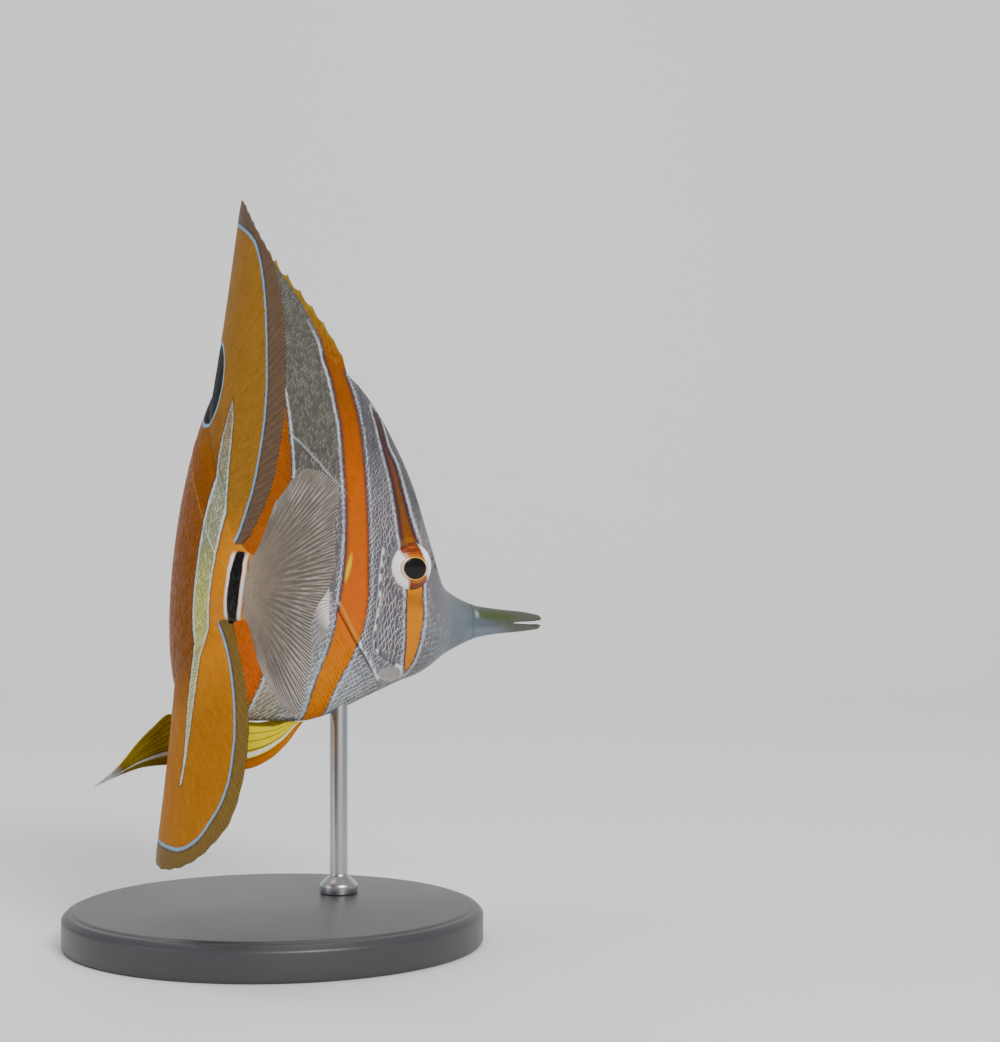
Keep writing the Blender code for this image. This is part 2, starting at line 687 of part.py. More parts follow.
def main():
    for thing in list(bpy.data.objects):
        bpy.data.objects.remove(thing)
    scene = bpy.context.scene
    fish = bpy.data.collections.new("copperband_butterflyfish")
    head_cutters = bpy.data.collections.new("head_cutters")
    stand_cutters = bpy.data.collections.new("stand_cutters")
    for group in (fish, head_cutters, stand_cutters):
        scene.collection.children.link(group)
    head, trunk = flesh(fish)
    eyes(fish, head_cutters, head)
    middle_fins(fish)
    for side, hand in ((1, "right"), (-1, "left")):
        pectoral_fin(fish, "pectoral_fin_" + hand, side)
    pelvic_fin(fish, "pelvic_fin_right", 1, None)
    pelvic_fin(fish, "pelvic_fin_left", -1, PELVIC_HANG_X)
    stand(fish, stand_cutters, trunk)


main()
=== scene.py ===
# Copperband butterflyfish, a life-size still model on a plain display stand.
# The fish is described straight, as on a chart, and then bent into its pose.
# Straight places are in millimetres: x back from the tip of the snout, h up, w to the fish's right.

import math
from types import SimpleNamespace

import bmesh
import bpy
import numpy as np
from bpy.props import FloatProperty, FloatVectorProperty, PointerProperty
from bpy.types import Operator, Panel, PropertyGroup
from mathutils import Matrix, Vector


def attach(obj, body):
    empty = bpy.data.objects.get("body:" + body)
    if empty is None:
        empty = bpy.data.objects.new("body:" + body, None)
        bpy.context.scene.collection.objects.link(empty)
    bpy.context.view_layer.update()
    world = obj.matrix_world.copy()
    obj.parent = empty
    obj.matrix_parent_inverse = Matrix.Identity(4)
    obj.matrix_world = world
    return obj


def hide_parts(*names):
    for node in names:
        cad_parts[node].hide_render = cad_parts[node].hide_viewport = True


bl_info = {
    "name": "Copperband butterflyfish model",
    "version": (1, 0, 0),
    "blender": (4, 5, 0),
    "location": "3D View > Sidebar > Copperband",
    "description": "Builds the skin, scales, eyes, fins and stand of a life-size butterflyfish model",
    "category": "Add Mesh",
}

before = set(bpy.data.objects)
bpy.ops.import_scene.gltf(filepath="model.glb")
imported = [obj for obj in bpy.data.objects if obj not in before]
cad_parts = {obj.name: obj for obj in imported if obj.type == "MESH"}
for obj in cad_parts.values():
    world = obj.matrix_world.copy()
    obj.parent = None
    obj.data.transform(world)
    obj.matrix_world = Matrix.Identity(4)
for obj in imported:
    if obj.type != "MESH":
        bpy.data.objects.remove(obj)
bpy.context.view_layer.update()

MM = 0.001
SIDES = ((1, "right"), (-1, "left"))

# Pose: the body's turn, its lean, and where a middle point of the flank stands over the floor
HEAD_TURN = 211.6
BODY_TURN = 99.8
TURN_MIDDLE = 95.2
TURN_SPREAD = 16.0
TURN_START = 20.0
TURN_END = 140.0
NOSE_DOWN = 7.1
ROLL = -2.25
MIDDLE_X = 75.0
MIDDLE_H = 12.0
MIDDLE_AT = (-3.0, 2.0, 88.0)

# Outline of the body seen from its side, and its half width seen from above
BACK = [(0, 1.6), (6, 2.0), (12, 1.9), (18, 2.0), (21, 2.6), (24, 3.5), (27, 5.0), (29.2, 7.0),
        (31, 10.2), (33, 14.6), (36, 20.8), (39.3, 27.6), (44.8, 36.0), (52.3, 44.6), (57, 48.2),
        (64, 51), (74, 52), (86, 48.5), (97, 41), (107, 31.5), (116, 21.5), (123, 13), (128, 7.6),
        (132, 6.3), (135.2, 5.9)]
BELLY = [(0, -1.5), (6, -2.8), (12, -3.9), (17, -5.2), (21.4, -7.3), (25.5, -9.9), (31, -14.6),
         (36, -17), (44.6, -21.6), (53, -26), (59, -27.8), (66, -28.3), (75, -28.8), (86, -28),
         (96, -25), (106, -20), (115, -13.8), (122, -9.2), (128, -6.9), (132, -6.2), (135.2, -5.9)]
HALF_WIDTH = [(0, 1.1), (6, 1.7), (12, 2.2), (18, 2.9), (22, 4.0), (26, 5.5), (31, 7.5), (38, 9.0),
              (48, 9.8), (60, 9.8), (75, 8.1), (90, 5.8), (105, 4.4), (118, 3.2), (126, 2.8),
              (132, 2.1), (133.5, 1.7), (135.2, 0.7)]
GILL_LINE = [(-22, 39.0), (-19.2, 41.0), (-16.8, 44.1), (-12.2, 48.8), (-8.7, 52.4), (-5.7, 55.1),
             (-1.7, 58.5), (2, 60), (7, 60.3), (14, 59), (22, 57), (30, 55.8), (40, 55.4), (52, 55.6)]
GILL_TOP = 19.0
GILL_FOOT = -16.5
GILL_FADE = 4.0
COVER_RISE = 0.28
COVER_REACH = 13.0
SLIT_DEPTH = 0.22
SLIT_REACH = 2.6
MOUTH_END = 8.6
SNOUT_END = 20.0
SKIN_END = 135.2
MOUTH_LINE = [(-1, 0.15), (0, 0.1), (3, -0.35), (8, -0.8)]
MOUTH_OPEN = [(-1, 1.2), (0, 1.0), (4, 0.6), (8.6, 0.25)]
EYE = (41.45, 8.8)
EYE_RADIUS = 5.5
EYE_DEPTH = 3.0
EYE_SINK = 1.3
EYE_OPENING = 5.15
PUPIL_SHIFT = -0.15
PUPIL_STRETCH = 1.23
PUPIL_DROP = 0.3
PUPIL_RADIUS = 2.36
NOSTRILS = ((33.6, 9.6, 0.55), (35.0, 11.6, 0.75))
PREOPERCLE = [(49.1, 12.0), (49.1, 7.3), (48.2, -0.7), (48, -6.6), (47.2, -9.3), (42.9, -12.2),
              (36.9, -14)]
COVER_EDGE = [(58.1, -1.0), (54.3, -5.7), (51.6, -8.7), (48.0, -12.2), (43.4, -16.8)]
LATERAL_LINE = [(58, 21.5), (61.9, 24.3), (64.5, 26.1), (69.1, 29.7), (73.7, 32.8), (82, 35.5),
                (92, 32), (103, 24.5), (113, 15), (122, 6), (130, 1.5)]

# Low flesh at the roots of the long fins: x, then its height above the back or below the belly
DORSAL_FOOT = [(57.5, 0), (60, 1.2), (66, 3), (84, 6), (116, 6), (126, 0.4), (126.6, 0)]
ANAL_FOOT = [(73, 0), (76, 1.5), (82, 4), (90, 5), (116, 5), (126, 0.4), (126.6, 0)]
FOOT_WIDTH = 0.95
FOOT_SOFTNESS = 2.0
ROOT_SINK = 1.2

# Fins of the mid plane: outlines of the tips, from front to rear
SPINE_TIPS = [(60.4, 53.2), (63, 56.3), (66, 59.5), (69.4, 62.6), (73, 65.5), (76.8, 68.2),
              (80.6, 70.7), (84.4, 73), (88.2, 75)]
SPINE_ROOTS = (58.2, 83.0)
SOFT_DORSAL = [(88.8, 75.3), (96, 78.2), (101.5, 79.2), (107, 78), (112, 75.2), (116.6, 71.8),
               (121, 68.4), (124.9, 65.2), (128.3, 60.5), (131.2, 54.2), (133.6, 47.5), (135.3, 40),
               (136.2, 31.8), (135.7, 23.6), (134.0, 17.2), (131.6, 13.0), (129.4, 9.8)]
SOFT_DORSAL_ROOTS = (83.5, 126.2)
SOFT_DORSAL_RAYS = 29
ANAL_SPINE_TIPS = [(77, -37), (81.6, -44.6), (87.4, -51)]
ANAL_SPINE_ROOTS = (74.0, 82.0)
SOFT_ANAL = [(88.0, -51.3), (96, -55.8), (102, -57.6), (110, -58.2), (118, -56.9), (125.2, -54),
             (131.3, -49.5), (135.5, -44.9), (137.6, -38.8), (138.3, -33.2), (137.9, -27.8),
             (136.5, -22.4), (134.3, -17.8), (132.0, -14.0), (129.4, -10.2)]
SOFT_ANAL_ROOTS = (82.6, 126.2)
SOFT_ANAL_RAYS = 20
CAUDAL = [(136.6, 17.2), (141.6, 22.0), (146.4, 24.0), (151.8, 22.8), (155.9, 20.2), (156.9, 14.4),
          (157.6, 6), (157.0, 1.5), (155.3, -1.6), (153.9, -4.4), (154.1, -8), (154.7, -11.2),
          (154.6, -15.6), (154.5, -19.5),
          (152.6, -22.3), (148.8, -22), (143.7, -18.7), (138.2, -14.2)]
CAUDAL_ROOT_X = 132.6
CAUDAL_ROOT_H = 5.4
CAUDAL_RAYS = 17

# Ovals on the chart: x and h of the middle, then half the length and half the height
BREAST_PAD = (61.5, -4.4, 2.3, 5.0)
LOWER_FLAP = (40.4, -15.4, 3.6, 1.8)
FLAP_SPOT = (38.9, -16.0, 0.9, 1.0)
EYE_SPOT = (104.0, 40.3, 6.4, 8.2)
# GLEAM is a painted highlight: a yellow glint on the second band beside the gill cover
GLEAM = (57.2, 6.8, 0.66, 3.5)
GLEAM_LEAN = 0.083

# Lower edge of the cheek, and the seam and rim at the root of the jaws, which lean with the height
FOLD_FOOT = [(36.9, -14.0), (42.9, -12.2), (47.2, -9.3), (48.2, -6.6)]
JAW_SEAM = 20.4
JAW_RIM = 19.3
SEAM_LEAN = 0.12

# Paired fins
PECTORAL_TOP = (61.8, 1.6)
PECTORAL_FOOT = (60.2, -5.6)
PECTORAL_RAYS = 14
PECTORAL_LENGTHS = [(0, 19.0), (0.18, 23.0), (0.5, 19.0), (1, 10.0)]
PECTORAL_ANGLES = (20.0, -72.0)
PECTORAL_SPREAD = 0.05
PECTORAL_CLEARANCE = 0.9
PELVIC_ROOT_X = 59.6
PELVIC_ROOT_W = 1.9
PELVIC_SPREAD_W = 4.6
PELVIC_SPREAD_REACH = 16.0
PELVIC_LEADING = [(59.8, -28.9), (63.6, -33), (67.4, -36.1), (73.3, -38.4), (80, -39.4), (87.5, -39.9),
                  (93, -40.8), (98, -42.8), (103.7, -45.8)]
PELVIC_TRAILING = [(62.2, -29.0), (74, -29.3), (82, -29.2), (88.2, -29.0), (91.7, -32), (95.1, -36),
                   (98.0, -40.2), (103.7, -45.8)]
PELVIC_HANG_X = 61.0

# Where the rays of the fins part for the first and the second time, as shares from root to tip
SOFT_FORKS = ((0.35, 0.75), (0.7, 1.0))
PECTORAL_FORKS = ((0.4, 0.8), (0.75, 1.0))
PELVIC_FORKS = ((0.3, 0.6), (0.6, 0.9))

# Stand
BASE_RADIUS = 45.0
BASE_THICK = 8.0
ROD_X = 50.0
ROD_RADIUS = 2.0
COLLAR_RADIUS = 4.2
COLLAR_HEIGHT = 2.6
ROD_BITE = 1.6

# Stage, in metres: the floor runs back, bends and rises behind the model
FLOOR_RUN = 4.2
FLOOR_HALF_WIDTH = 2.5
FLOOR_FRONT = 1.6
BEND_START = 2.2
BEND_RADIUS = 0.45
LIGHT_TARGET = (0.0, 0.0, 0.09)
CAMERA_PLACE = (0.04858, -0.478, 0.09046)

# Camera's sensor in millimetres, then its focal length and its frame's longer side in pixels
SENSOR_WIDTH = 36.0
FOCAL_PIXELS = 2222.4
FRAME_PIXELS = 1042

# Markings: lines from top to bottom
EYE_BAND_FRONT = [(50.6, 41.5), (48.9, 34.1), (46.8, 31.1), (44.6, 25), (42.2, 18.8), (40.2, 14.8),
                  (38.6, 9.5), (37.6, 3.2), (36.3, -2.2), (36, -6.6), (35.8, -11.1), (36.4, -14.4)]
EYE_BAND_REAR = [(52.4, 42.5), (50.3, 33.9), (48.1, 27.2), (46.5, 21), (44.9, 14.7), (43.2, 9),
                 (41.5, 2.7), (40.5, -2.6), (39.1, -8), (37.7, -12.9), (36.7, -14.8)]
GILL_BAND_FRONT = [(56.5, 60), (59.4, 49.3), (58.1, 43.5), (56.9, 38.3), (55.7, 30.4), (54.5, 22.6),
                   (53.3, 14.8), (52.1, 6.9), (51.1, 0.1), (51.1, -5.3), (51.5, -8.6), (52.4, -13),
                   (53.6, -17), (54.4, -21.5), (54.4, -25.6), (54.8, -31)]
GILL_BAND_REAR = [(93, 77.6), (89, 75.0), (85.3, 72.4), (81.5, 69.8), (77.6, 67.0), (73.5, 63.8),
                  (69.3, 59.4), (65.6, 54.2), (64.3, 48.9), (63.3, 42.7), (62.1, 37.5), (61.1, 29.7),
                  (59.8, 21.9), (58.8, 14.1), (58.2, 6.3), (58.1, 1), (57.9, -7), (58.4, -11.9),
                  (59.3, -17.4), (59.5, -21.9), (59, -27), (59, -31)]
REAR_BAND_FRONT = [(90, 77), (86, 68), (81.5, 57), (78.2, 46), (75.9, 34.6), (74.4, 24.7),
                   (73.2, 3), (73.2, -18.8), (73.8, -22.2), (74.1, -25.1), (74.6, -31), (76.5, -42)]
PALE_FIELD = [(116.9, 37.2), (115.4, 32.2), (114.4, 26.7), (115.4, 18.3), (116.1, 4.4), (115, -11.7),
              (114.5, -23.7), (115.4, -32.5), (115.6, -37.5), (114.9, -41.8), (115.4, -42),
              (116.4, -38), (116.8, -32.5), (117.2, -23.4), (117.6, -16.4), (120.9, -7.3),
              (122.5, 4.8), (119.8, 21.5), (118.9, 28.7), (118.2, 34.5)]
TAIL_BAR = [(127.4, 6.9), (127.8, 4.5), (128.1, 1.1), (127.5, -4.1), (126.6, -7.4), (128.2, -7.4),
            (129.9, -5.4), (131, -3.2), (131.4, 0), (131.2, 2.6), (130.2, 5), (129.2, 6.9)]
BLUE_DORSAL = [(92, 71), (97, 72.9), (103, 73.6), (108.6, 72.4), (116.9, 68.9), (120.7, 64.4),
               (124, 57.7), (127, 48.1), (129.4, 36.8), (129.8, 31.1), (129.2, 21.3), (127.3, 13.8),
               (125.8, 8.9), (124.3, 5.5)]
BLUE_ANAL = [(123.9, -8.1), (126.8, -11.9), (130.3, -18.3), (132.4, -24), (133.6, -30.2),
             (133.6, -35.6), (132.2, -40.8), (128.7, -46), (124.2, -50.5), (116.6, -53.2),
             (108.6, -53.3), (102, -52.7), (96, -50.6), (91, -47.5)]
LEFT_BAND_SHIFT = 9.0
SNOUT_STREAK = [(7.5, 0.5), (10, 0.9), (14, 1.1), (18.2, 1.0), (19.0, 0.3), (16.5, -0.7), (12, -0.4),
                (9, 0.1)]


def curve_through(points):
    """A smooth function through the points that never overshoots them."""
    xs, ys = np.array(points, float).T
    step = np.diff(xs)
    slope = np.diff(ys) / step
    tangent = np.zeros(len(xs))
    for i in range(1, len(xs) - 1):
        if slope[i - 1] * slope[i] > 0:
            near = 2 * step[i] + step[i - 1]
            far = step[i] + 2 * step[i - 1]
            tangent[i] = (near + far) / (near / slope[i - 1] + far / slope[i])
    tangent[0] = slope[0]
    tangent[-1] = slope[-1]

    def value(x):
        x = np.clip(np.asarray(x, float), xs[0], xs[-1])
        i = np.clip(np.searchsorted(xs, x) - 1, 0, len(step) - 1)
        t = (x - xs[i]) / step[i]
        rise = ys[i] * (1 + 2 * t) * (1 - t) ** 2 + ys[i + 1] * t * t * (3 - 2 * t)
        lean = tangent[i] * t * (1 - t) ** 2 - tangent[i + 1] * t * t * (1 - t)
        return rise + lean * step[i]

    return value


back = curve_through(BACK)
belly = curve_through(BELLY)
half_width = curve_through(HALF_WIDTH)
gill_line = curve_through(GILL_LINE)
mouth_line = curve_through(MOUTH_LINE)
mouth_open = curve_through(MOUTH_OPEN)
dorsal_foot = curve_through(DORSAL_FOOT)
anal_foot = curve_through(ANAL_FOOT)


def running_sum(steps):
    """Sums of the steps up to each place, from 0."""
    return np.concatenate([[0], np.cumsum(steps)])


def bell(x):
    """A smooth step from 0 to 1 round the middle of the turn."""
    return 0.5 * (1 + math.erf((x - TURN_MIDDLE) / (TURN_SPREAD * math.sqrt(2))))


def heading(x):
    """Direction that runs back along the body at x, in radians about +Z."""
    share = (bell(x) - bell(TURN_START)) / (bell(TURN_END) - bell(TURN_START))
    return math.radians(HEAD_TURN + BODY_TURN * min(1.0, max(0.0, share)))


SPAN = np.linspace(-5.0, 175.0, 721)
HEADINGS = np.array([heading(x) for x in SPAN])
STRIDE = SPAN[1] - SPAN[0]
BETWEEN = HEADINGS[:-1] / 2 + HEADINGS[1:] / 2
MID_X = running_sum(np.cos(BETWEEN)) * STRIDE
MID_Y = running_sum(np.sin(BETWEEN)) * STRIDE
TILT = np.array(Matrix.Rotation(math.radians(ROLL), 3, "X")
                @ Matrix.Rotation(math.radians(NOSE_DOWN), 3, "Y"))


def pose(points, hang_x=None):
    """Straight places in millimetres to places in the model in metres.

    With hang_x, what lies behind that x runs on straight from it and doesn't follow the bend.
    """
    p = np.array(points, float)
    x = p[:, 0]
    ahead = np.zeros(len(x))
    if hang_x is not None:
        ahead = np.maximum(0.0, x - hang_x)
        x = np.minimum(x, hang_x)
    turn = np.interp(x, SPAN, HEADINGS)
    flat_x = np.interp(x, SPAN, MID_X) - p[:, 2] * np.sin(turn) + ahead * np.cos(turn)
    flat_y = np.interp(x, SPAN, MID_Y) + p[:, 2] * np.cos(turn) + ahead * np.sin(turn)
    origin = (np.interp(MIDDLE_X, SPAN, MID_X), np.interp(MIDDLE_X, SPAN, MID_Y), MIDDLE_H)
    bent = np.stack([flat_x, flat_y, p[:, 1]], 1) - origin
    return (bent @ TILT.T + MIDDLE_AT) * MM


def fade(value, low, high):
    """0 below low, 1 above high and smooth between them."""
    t = np.clip((value - low) / (high - low), 0, 1)
    return t * t * (3 - 2 * t)


def oval(place, x, h):
    """How far out a place lies in an oval on the chart, 1 on its edge."""
    return np.hypot((x - place[0]) / place[2], (h - place[1]) / place[3])


def along(points):
    """A function of a share from 0 to 1 along a smooth line through the points."""
    p = np.array(points, float)
    lengths = running_sum(np.linalg.norm(np.diff(p, axis=0), axis=1))
    shares = lengths / lengths[-1]
    xs = curve_through(list(zip(shares, p[:, 0])))
    hs = curve_through(list(zip(shares, p[:, 1])))
    return lambda share: (xs(share), hs(share))


def smooth_line(points, count=40):
    """The line through the points as that many short steps."""
    return np.stack(along(points)(np.linspace(0, 1, count)), 1)


# The flank as a table: for each x, places down the right side at even steps of length
TABLE_X = np.linspace(0, SKIN_END, 276)
TABLE_V = np.linspace(0, 1, 201)
PROFILE = 500


def roundness(x):
    """Exponent of the section's side: 1 is an ellipse and more is flatter towards the edges."""
    return 1.0 + 0.25 * fade(x, 20.0, 45.0)


def flank_width(x, h):
    """Half width of the plain body at a place on its flank."""
    top = back(x)
    foot = belly(x)
    u = np.clip((h - (top + foot) / 2) / ((top - foot) / 2), -1, 1)
    return half_width(x) * (1 - u * u) ** (roundness(x) / 2)


def skin_half(x, h):
    """Half width of the skin at a place on the chart, with the low flesh at the fins' roots."""
    top = back(x)
    foot = belly(x)
    sheath = np.zeros(np.shape(x))
    for height, beyond in ((dorsal_foot(x), h - top), (anal_foot(x), foot - h)):
        reach = np.where(beyond > 0, beyond / FOOT_SOFTNESS, -beyond / 4)
        rise = FOOT_WIDTH * fade(height, 0, 3) * np.exp(-reach) * (beyond < height)
        sheath = np.maximum(sheath, rise)
    return (flank_width(x, h) ** 3 + sheath ** 3) ** (1 / 3)


def side_profile(x):
    """Places (h, w) down the right side of the body at x, from one fin's root to the other's."""
    top, foot, over, under = [float(edge(x)) for edge in (back, belly, dorsal_foot, anal_foot)]
    turn = np.linspace(0, math.pi, PROFILE)
    h = (top + over + foot - under) / 2 + (top + over - foot + under) / 2 * np.cos(turn)
    w = skin_half(x, h)
    w[0] = w[-1] = 0.0
    return h, w


def make_table():
    """Heights and half widths at even steps down the side, and the length of the side at each x."""
    heights = np.zeros((len(TABLE_X), len(TABLE_V)))
    widths = np.zeros_like(heights)
    lengths = np.zeros(len(TABLE_X))
    for i, x in enumerate(TABLE_X):
        h, w = side_profile(x)
        steps = running_sum(np.hypot(np.diff(h), np.diff(w)))
        lengths[i] = steps[-1]
        heights[i] = np.interp(TABLE_V * steps[-1], steps, h)
        widths[i] = np.interp(TABLE_V * steps[-1], steps, w)
    return heights, widths, lengths


TABLE_H, TABLE_W, TABLE_T = make_table()


def read_net(net, first, second):
    """The net's value at places counted in steps along its two ways, evened between its entries."""
    i = np.minimum(first.astype(int), net.shape[0] - 2)
    j = np.minimum(second.astype(int), net.shape[1] - 2)
    a = first - i
    b = second - j
    near = net[i, j] * (1 - b) + net[i, j + 1] * b
    far = net[i + 1, j] * (1 - b) + net[i + 1, j + 1] * b
    return near * (1 - a) + far * a


def look_up(table, x, v):
    """The table's value at x and share v down the side."""
    first = np.clip(np.asarray(x, float) / SKIN_END, 0, 1) * (len(TABLE_X) - 1)
    second = np.clip(np.asarray(v, float), 0, 1) * (len(TABLE_V) - 1)
    return read_net(table, first, second)


def side_length(x):
    """Length of the side from the back's edge to the belly's at x."""
    return np.interp(x, TABLE_X, TABLE_T)


def in_gill_height(h):
    """1 at the lower heights of the gill cover, fading out above and below them."""
    upper = 1 - 0.9 * fade(h, -3.0, 2.0)
    return upper * fade(h, GILL_FOOT, GILL_FOOT + GILL_FADE) * (1 - fade(h, GILL_TOP - GILL_FADE, GILL_TOP))


def distance_to(line, x, h):
    """Distance of places to a line of short steps."""
    best = np.full(np.shape(x), 1e9)
    for (ax, ah), (bx, bh) in zip(line, line[1:]):
        dx = bx - ax
        dh = bh - ah
        t = np.clip(((x - ax) * dx + (h - ah) * dh) / max(dx * dx + dh * dh, 1e-12), 0, 1)
        best = np.minimum(best, (x - ax - t * dx) ** 2 + (h - ah - t * dh) ** 2)
    return np.sqrt(best)


def inside(outline, x, h):
    """True for places inside a closed outline."""
    odd = np.zeros(np.shape(x), bool)
    for (ax, ah), (bx, bh) in zip(outline, np.roll(outline, -1, axis=0)):
        if ah != bh:
            odd ^= ((ah > h) != (bh > h)) & (x < ax + (h - ah) * (bx - ax) / (bh - ah))
    return odd


class Field:
    """A number over the fish's chart, worked out once on a fine net and read between its places."""

    LOW = (-2.0, -62.0)
    HIGH = (162.0, 84.0)
    STEP = 0.4

    def __init__(self, measure):
        xs = np.arange(self.LOW[0], self.HIGH[0], self.STEP)
        hs = np.arange(self.LOW[1], self.HIGH[1], self.STEP)
        x, h = np.meshgrid(xs, hs, indexing="ij")
        self.net = measure(x, h)

    def __call__(self, x, h):
        last = np.array(self.net.shape) - 1.001
        first = np.clip((np.asarray(x) - self.LOW[0]) / self.STEP, 0, last[0])
        second = np.clip((np.asarray(h) - self.LOW[1]) / self.STEP, 0, last[1])
        return read_net(self.net, first, second)


def region(lines, rest=()):
    """Field of the distance to the lines in millimetres, positive inside the outline they close."""
    smooth = [smooth_line(line) for line in lines]
    outline = np.concatenate(smooth + [np.array(rest, float).reshape(-1, 2)])

    def measure(x, h):
        nearest = np.minimum.reduce([distance_to(line, x, h) for line in smooth])
        return np.where(inside(outline, x, h), nearest, -nearest)

    return Field(measure)


def spot_distance(x, h):
    """Depth inside the eye spot of the fin, in millimetres."""
    return (1 - oval(EYE_SPOT, x, h)) * (EYE_SPOT[2] + EYE_SPOT[3]) / 2


def closed(points):
    """An outline with its first place again at its end."""
    return list(points) + [points[0]]


FIELDS = {
    "marks_a": (region([EYE_BAND_FRONT, EYE_BAND_REAR[::-1]]),
                region([GILL_BAND_FRONT, GILL_BAND_REAR[::-1]], [(92, 90), (56, 90)]),
                region([REAR_BAND_FRONT], [(170, -90), (170, 90)])),
    "marks_b": (region([closed(PALE_FIELD)]), region([closed(TAIL_BAR)]), spot_distance),
    "marks_c": (region([BLUE_DORSAL, BLUE_ANAL], [(80, -90), (-20, -90), (-20, 90), (88, 90)]),
                region([closed(SNOUT_STREAK)]),
                Field(lambda x, h: np.minimum.reduce([distance_to(smooth_line(PREOPERCLE), x, h),
                                                      distance_to(smooth_line(LATERAL_LINE), x, h) + 0.12,
                                                      distance_to(smooth_line(COVER_EDGE), x, h)]))),
}
LATERAL = Field(lambda x, h: distance_to(smooth_line(LATERAL_LINE), x, h))
# Greatest distance to a marking that is stored on a mesh
DEEP = 8.0


def set_vectors(mesh, name, values):
    """Stores three numbers for each vertex."""
    data = mesh.attributes.new(name=name, type="FLOAT_VECTOR", domain="POINT")
    data.data.foreach_set("vector", np.asarray(values, np.float32).ravel())


def store_marks(mesh, straight):
    """Stores the chart's places and the distances to the markings on a mesh."""
    x, h, w = straight.T
    within = fade(np.minimum(back(x) - h, h - belly(x)), -1.0, 11.0) * (1 - fade(x, 92.0, 104.0))
    shift = np.where(w < 0, LEFT_BAND_SHIFT * within, 0.0)
    set_vectors(mesh, "chart", straight)
    for name, fields in FIELDS.items():
        values = [np.clip(f(x, h), -DEEP, DEEP) for f in fields]
        if name == "marks_a":
            values[2] = np.clip(fields[2](x - shift, h), -DEEP, DEEP)
        if name == "marks_c":
            values[0] = -values[0]
        set_vectors(mesh, name, np.stack(values, 1))


def places_of(mesh):
    """The mesh's vertices as an array."""
    co = np.zeros(len(mesh.vertices) * 3, np.float32)
    mesh.vertices.foreach_get("co", co)
    return co.reshape(-1, 3).astype(float)


def set_places(mesh, places):
    """Moves the mesh's vertices."""
    mesh.vertices.foreach_set("co", np.asarray(places, np.float32).ravel())
    mesh.update()


def mesh_of(bm, name):
    """A smooth mesh from a bmesh, which is then done with."""
    mesh = bpy.data.meshes.new(name)
    bm.to_mesh(mesh)
    bm.free()
    mesh.shade_smooth()
    return mesh


def place_piece(mesh, name, paint, nodes=()):
    """Shows a finished mesh as a piece on the frame's one body."""
    piece = bpy.data.objects.new(name, mesh)
    bpy.context.scene.collection.objects.link(piece)
    mesh.materials.clear()
    mesh.materials.append(paint)
    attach(piece, "root")
    if nodes:
        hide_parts(*nodes)
    return piece


def turn_outward(mesh):
    """Turns the faces of a mesh of closed parts outward and smooths it."""
    bm = bmesh.new()
    bm.from_mesh(mesh)
    bmesh.ops.recalc_face_normals(bm, faces=bm.faces[:])
    if bm.calc_volume(signed=True) < 0:
        bmesh.ops.reverse_faces(bm, faces=bm.faces[:])
    bm.to_mesh(mesh)
    bm.free()
    mesh.shade_smooth()


# Skin

RING = 256
TIP_END = 7.5
TRUNK_START = 80.0

# The rings settle in rounds from a first x
FIRST_X = 50.0
ROUNDS = 50

# Between these x the skin sinks from its full width to under the scales
BARE_TO_SCALED = (22, 28)


def swell(height, away, width):
    """A rounded rise, or a hollow where its height is negative, by the distance from its middle."""
    return height * np.exp(-(away / width) ** 2)


def relief(x, h):
    """Rises and hollows of the skin in millimetres: gill cover, cheek, rims, pits and lines."""
    gill = gill_line(h)
    cover = in_gill_height(h)
    rise = COVER_RISE * fade(x, gill - COVER_REACH, gill - 1.0) * cover * (x <= gill + 0.001)
    rise = rise - SLIT_DEPTH * (1 - fade(x, gill + 0.3, gill + SLIT_REACH)) * cover * (x > gill + 0.001)
    eye = np.hypot(x - EYE[0], h - EYE[1])
    rise = rise + swell(0.22, eye - EYE_OPENING - 0.75, 0.6)
    fold = distance_to(smooth_line(PREOPERCLE, 24), x, h)
    rise = rise + swell(-0.16, fold, 0.35) + swell(0.1, fold - 0.8, 0.6)
    for nx, nh, size in NOSTRILS:
        away = np.hypot(x - nx, h - nh)
        rise = rise + swell(-0.55, away, 0.75 * size) + swell(0.14, away - 1.5 * size, 0.5 * size)
    jaws = fade(-np.abs(h + 0.6), -6.5, -3.5)
    rise = rise + swell(-0.26, x - JAW_SEAM - SEAM_LEAN * h, 0.4) * jaws
    rise = rise + swell(0.1, x - JAW_RIM - SEAM_LEAN * h, 0.8) * jaws
    lip_line = np.abs(h - mouth_line(np.minimum(x, 8.0)) + 0.05 * np.maximum(x - 8.0, 0))
    rise = rise + swell(-0.14, lip_line, 0.28) * fade(-x, -19.0, -14.0) * fade(x, 7.0, 9.0)
    rise = rise + swell(0.10, x - 1.2, 1.0)
    rise = rise + 0.5 * np.exp(-(oval(BREAST_PAD, x, h) / 0.85) ** 4) * (x > gill)
    return rise + swell(0.10, LATERAL(x, h), 0.45) * fade(x, 60, 64)


def ends(x):
    """How full the section is near the tip of the snout and at the tail's root, from 0 to 1."""
    tip = np.clip(x / 1.3, 0, 1)
    tail = np.clip((SKIN_END - x) / 1.6, 0, 1)
    return np.sqrt(1 - (1 - tip) ** 2) * np.sqrt(1 - (1 - tail) ** 2)


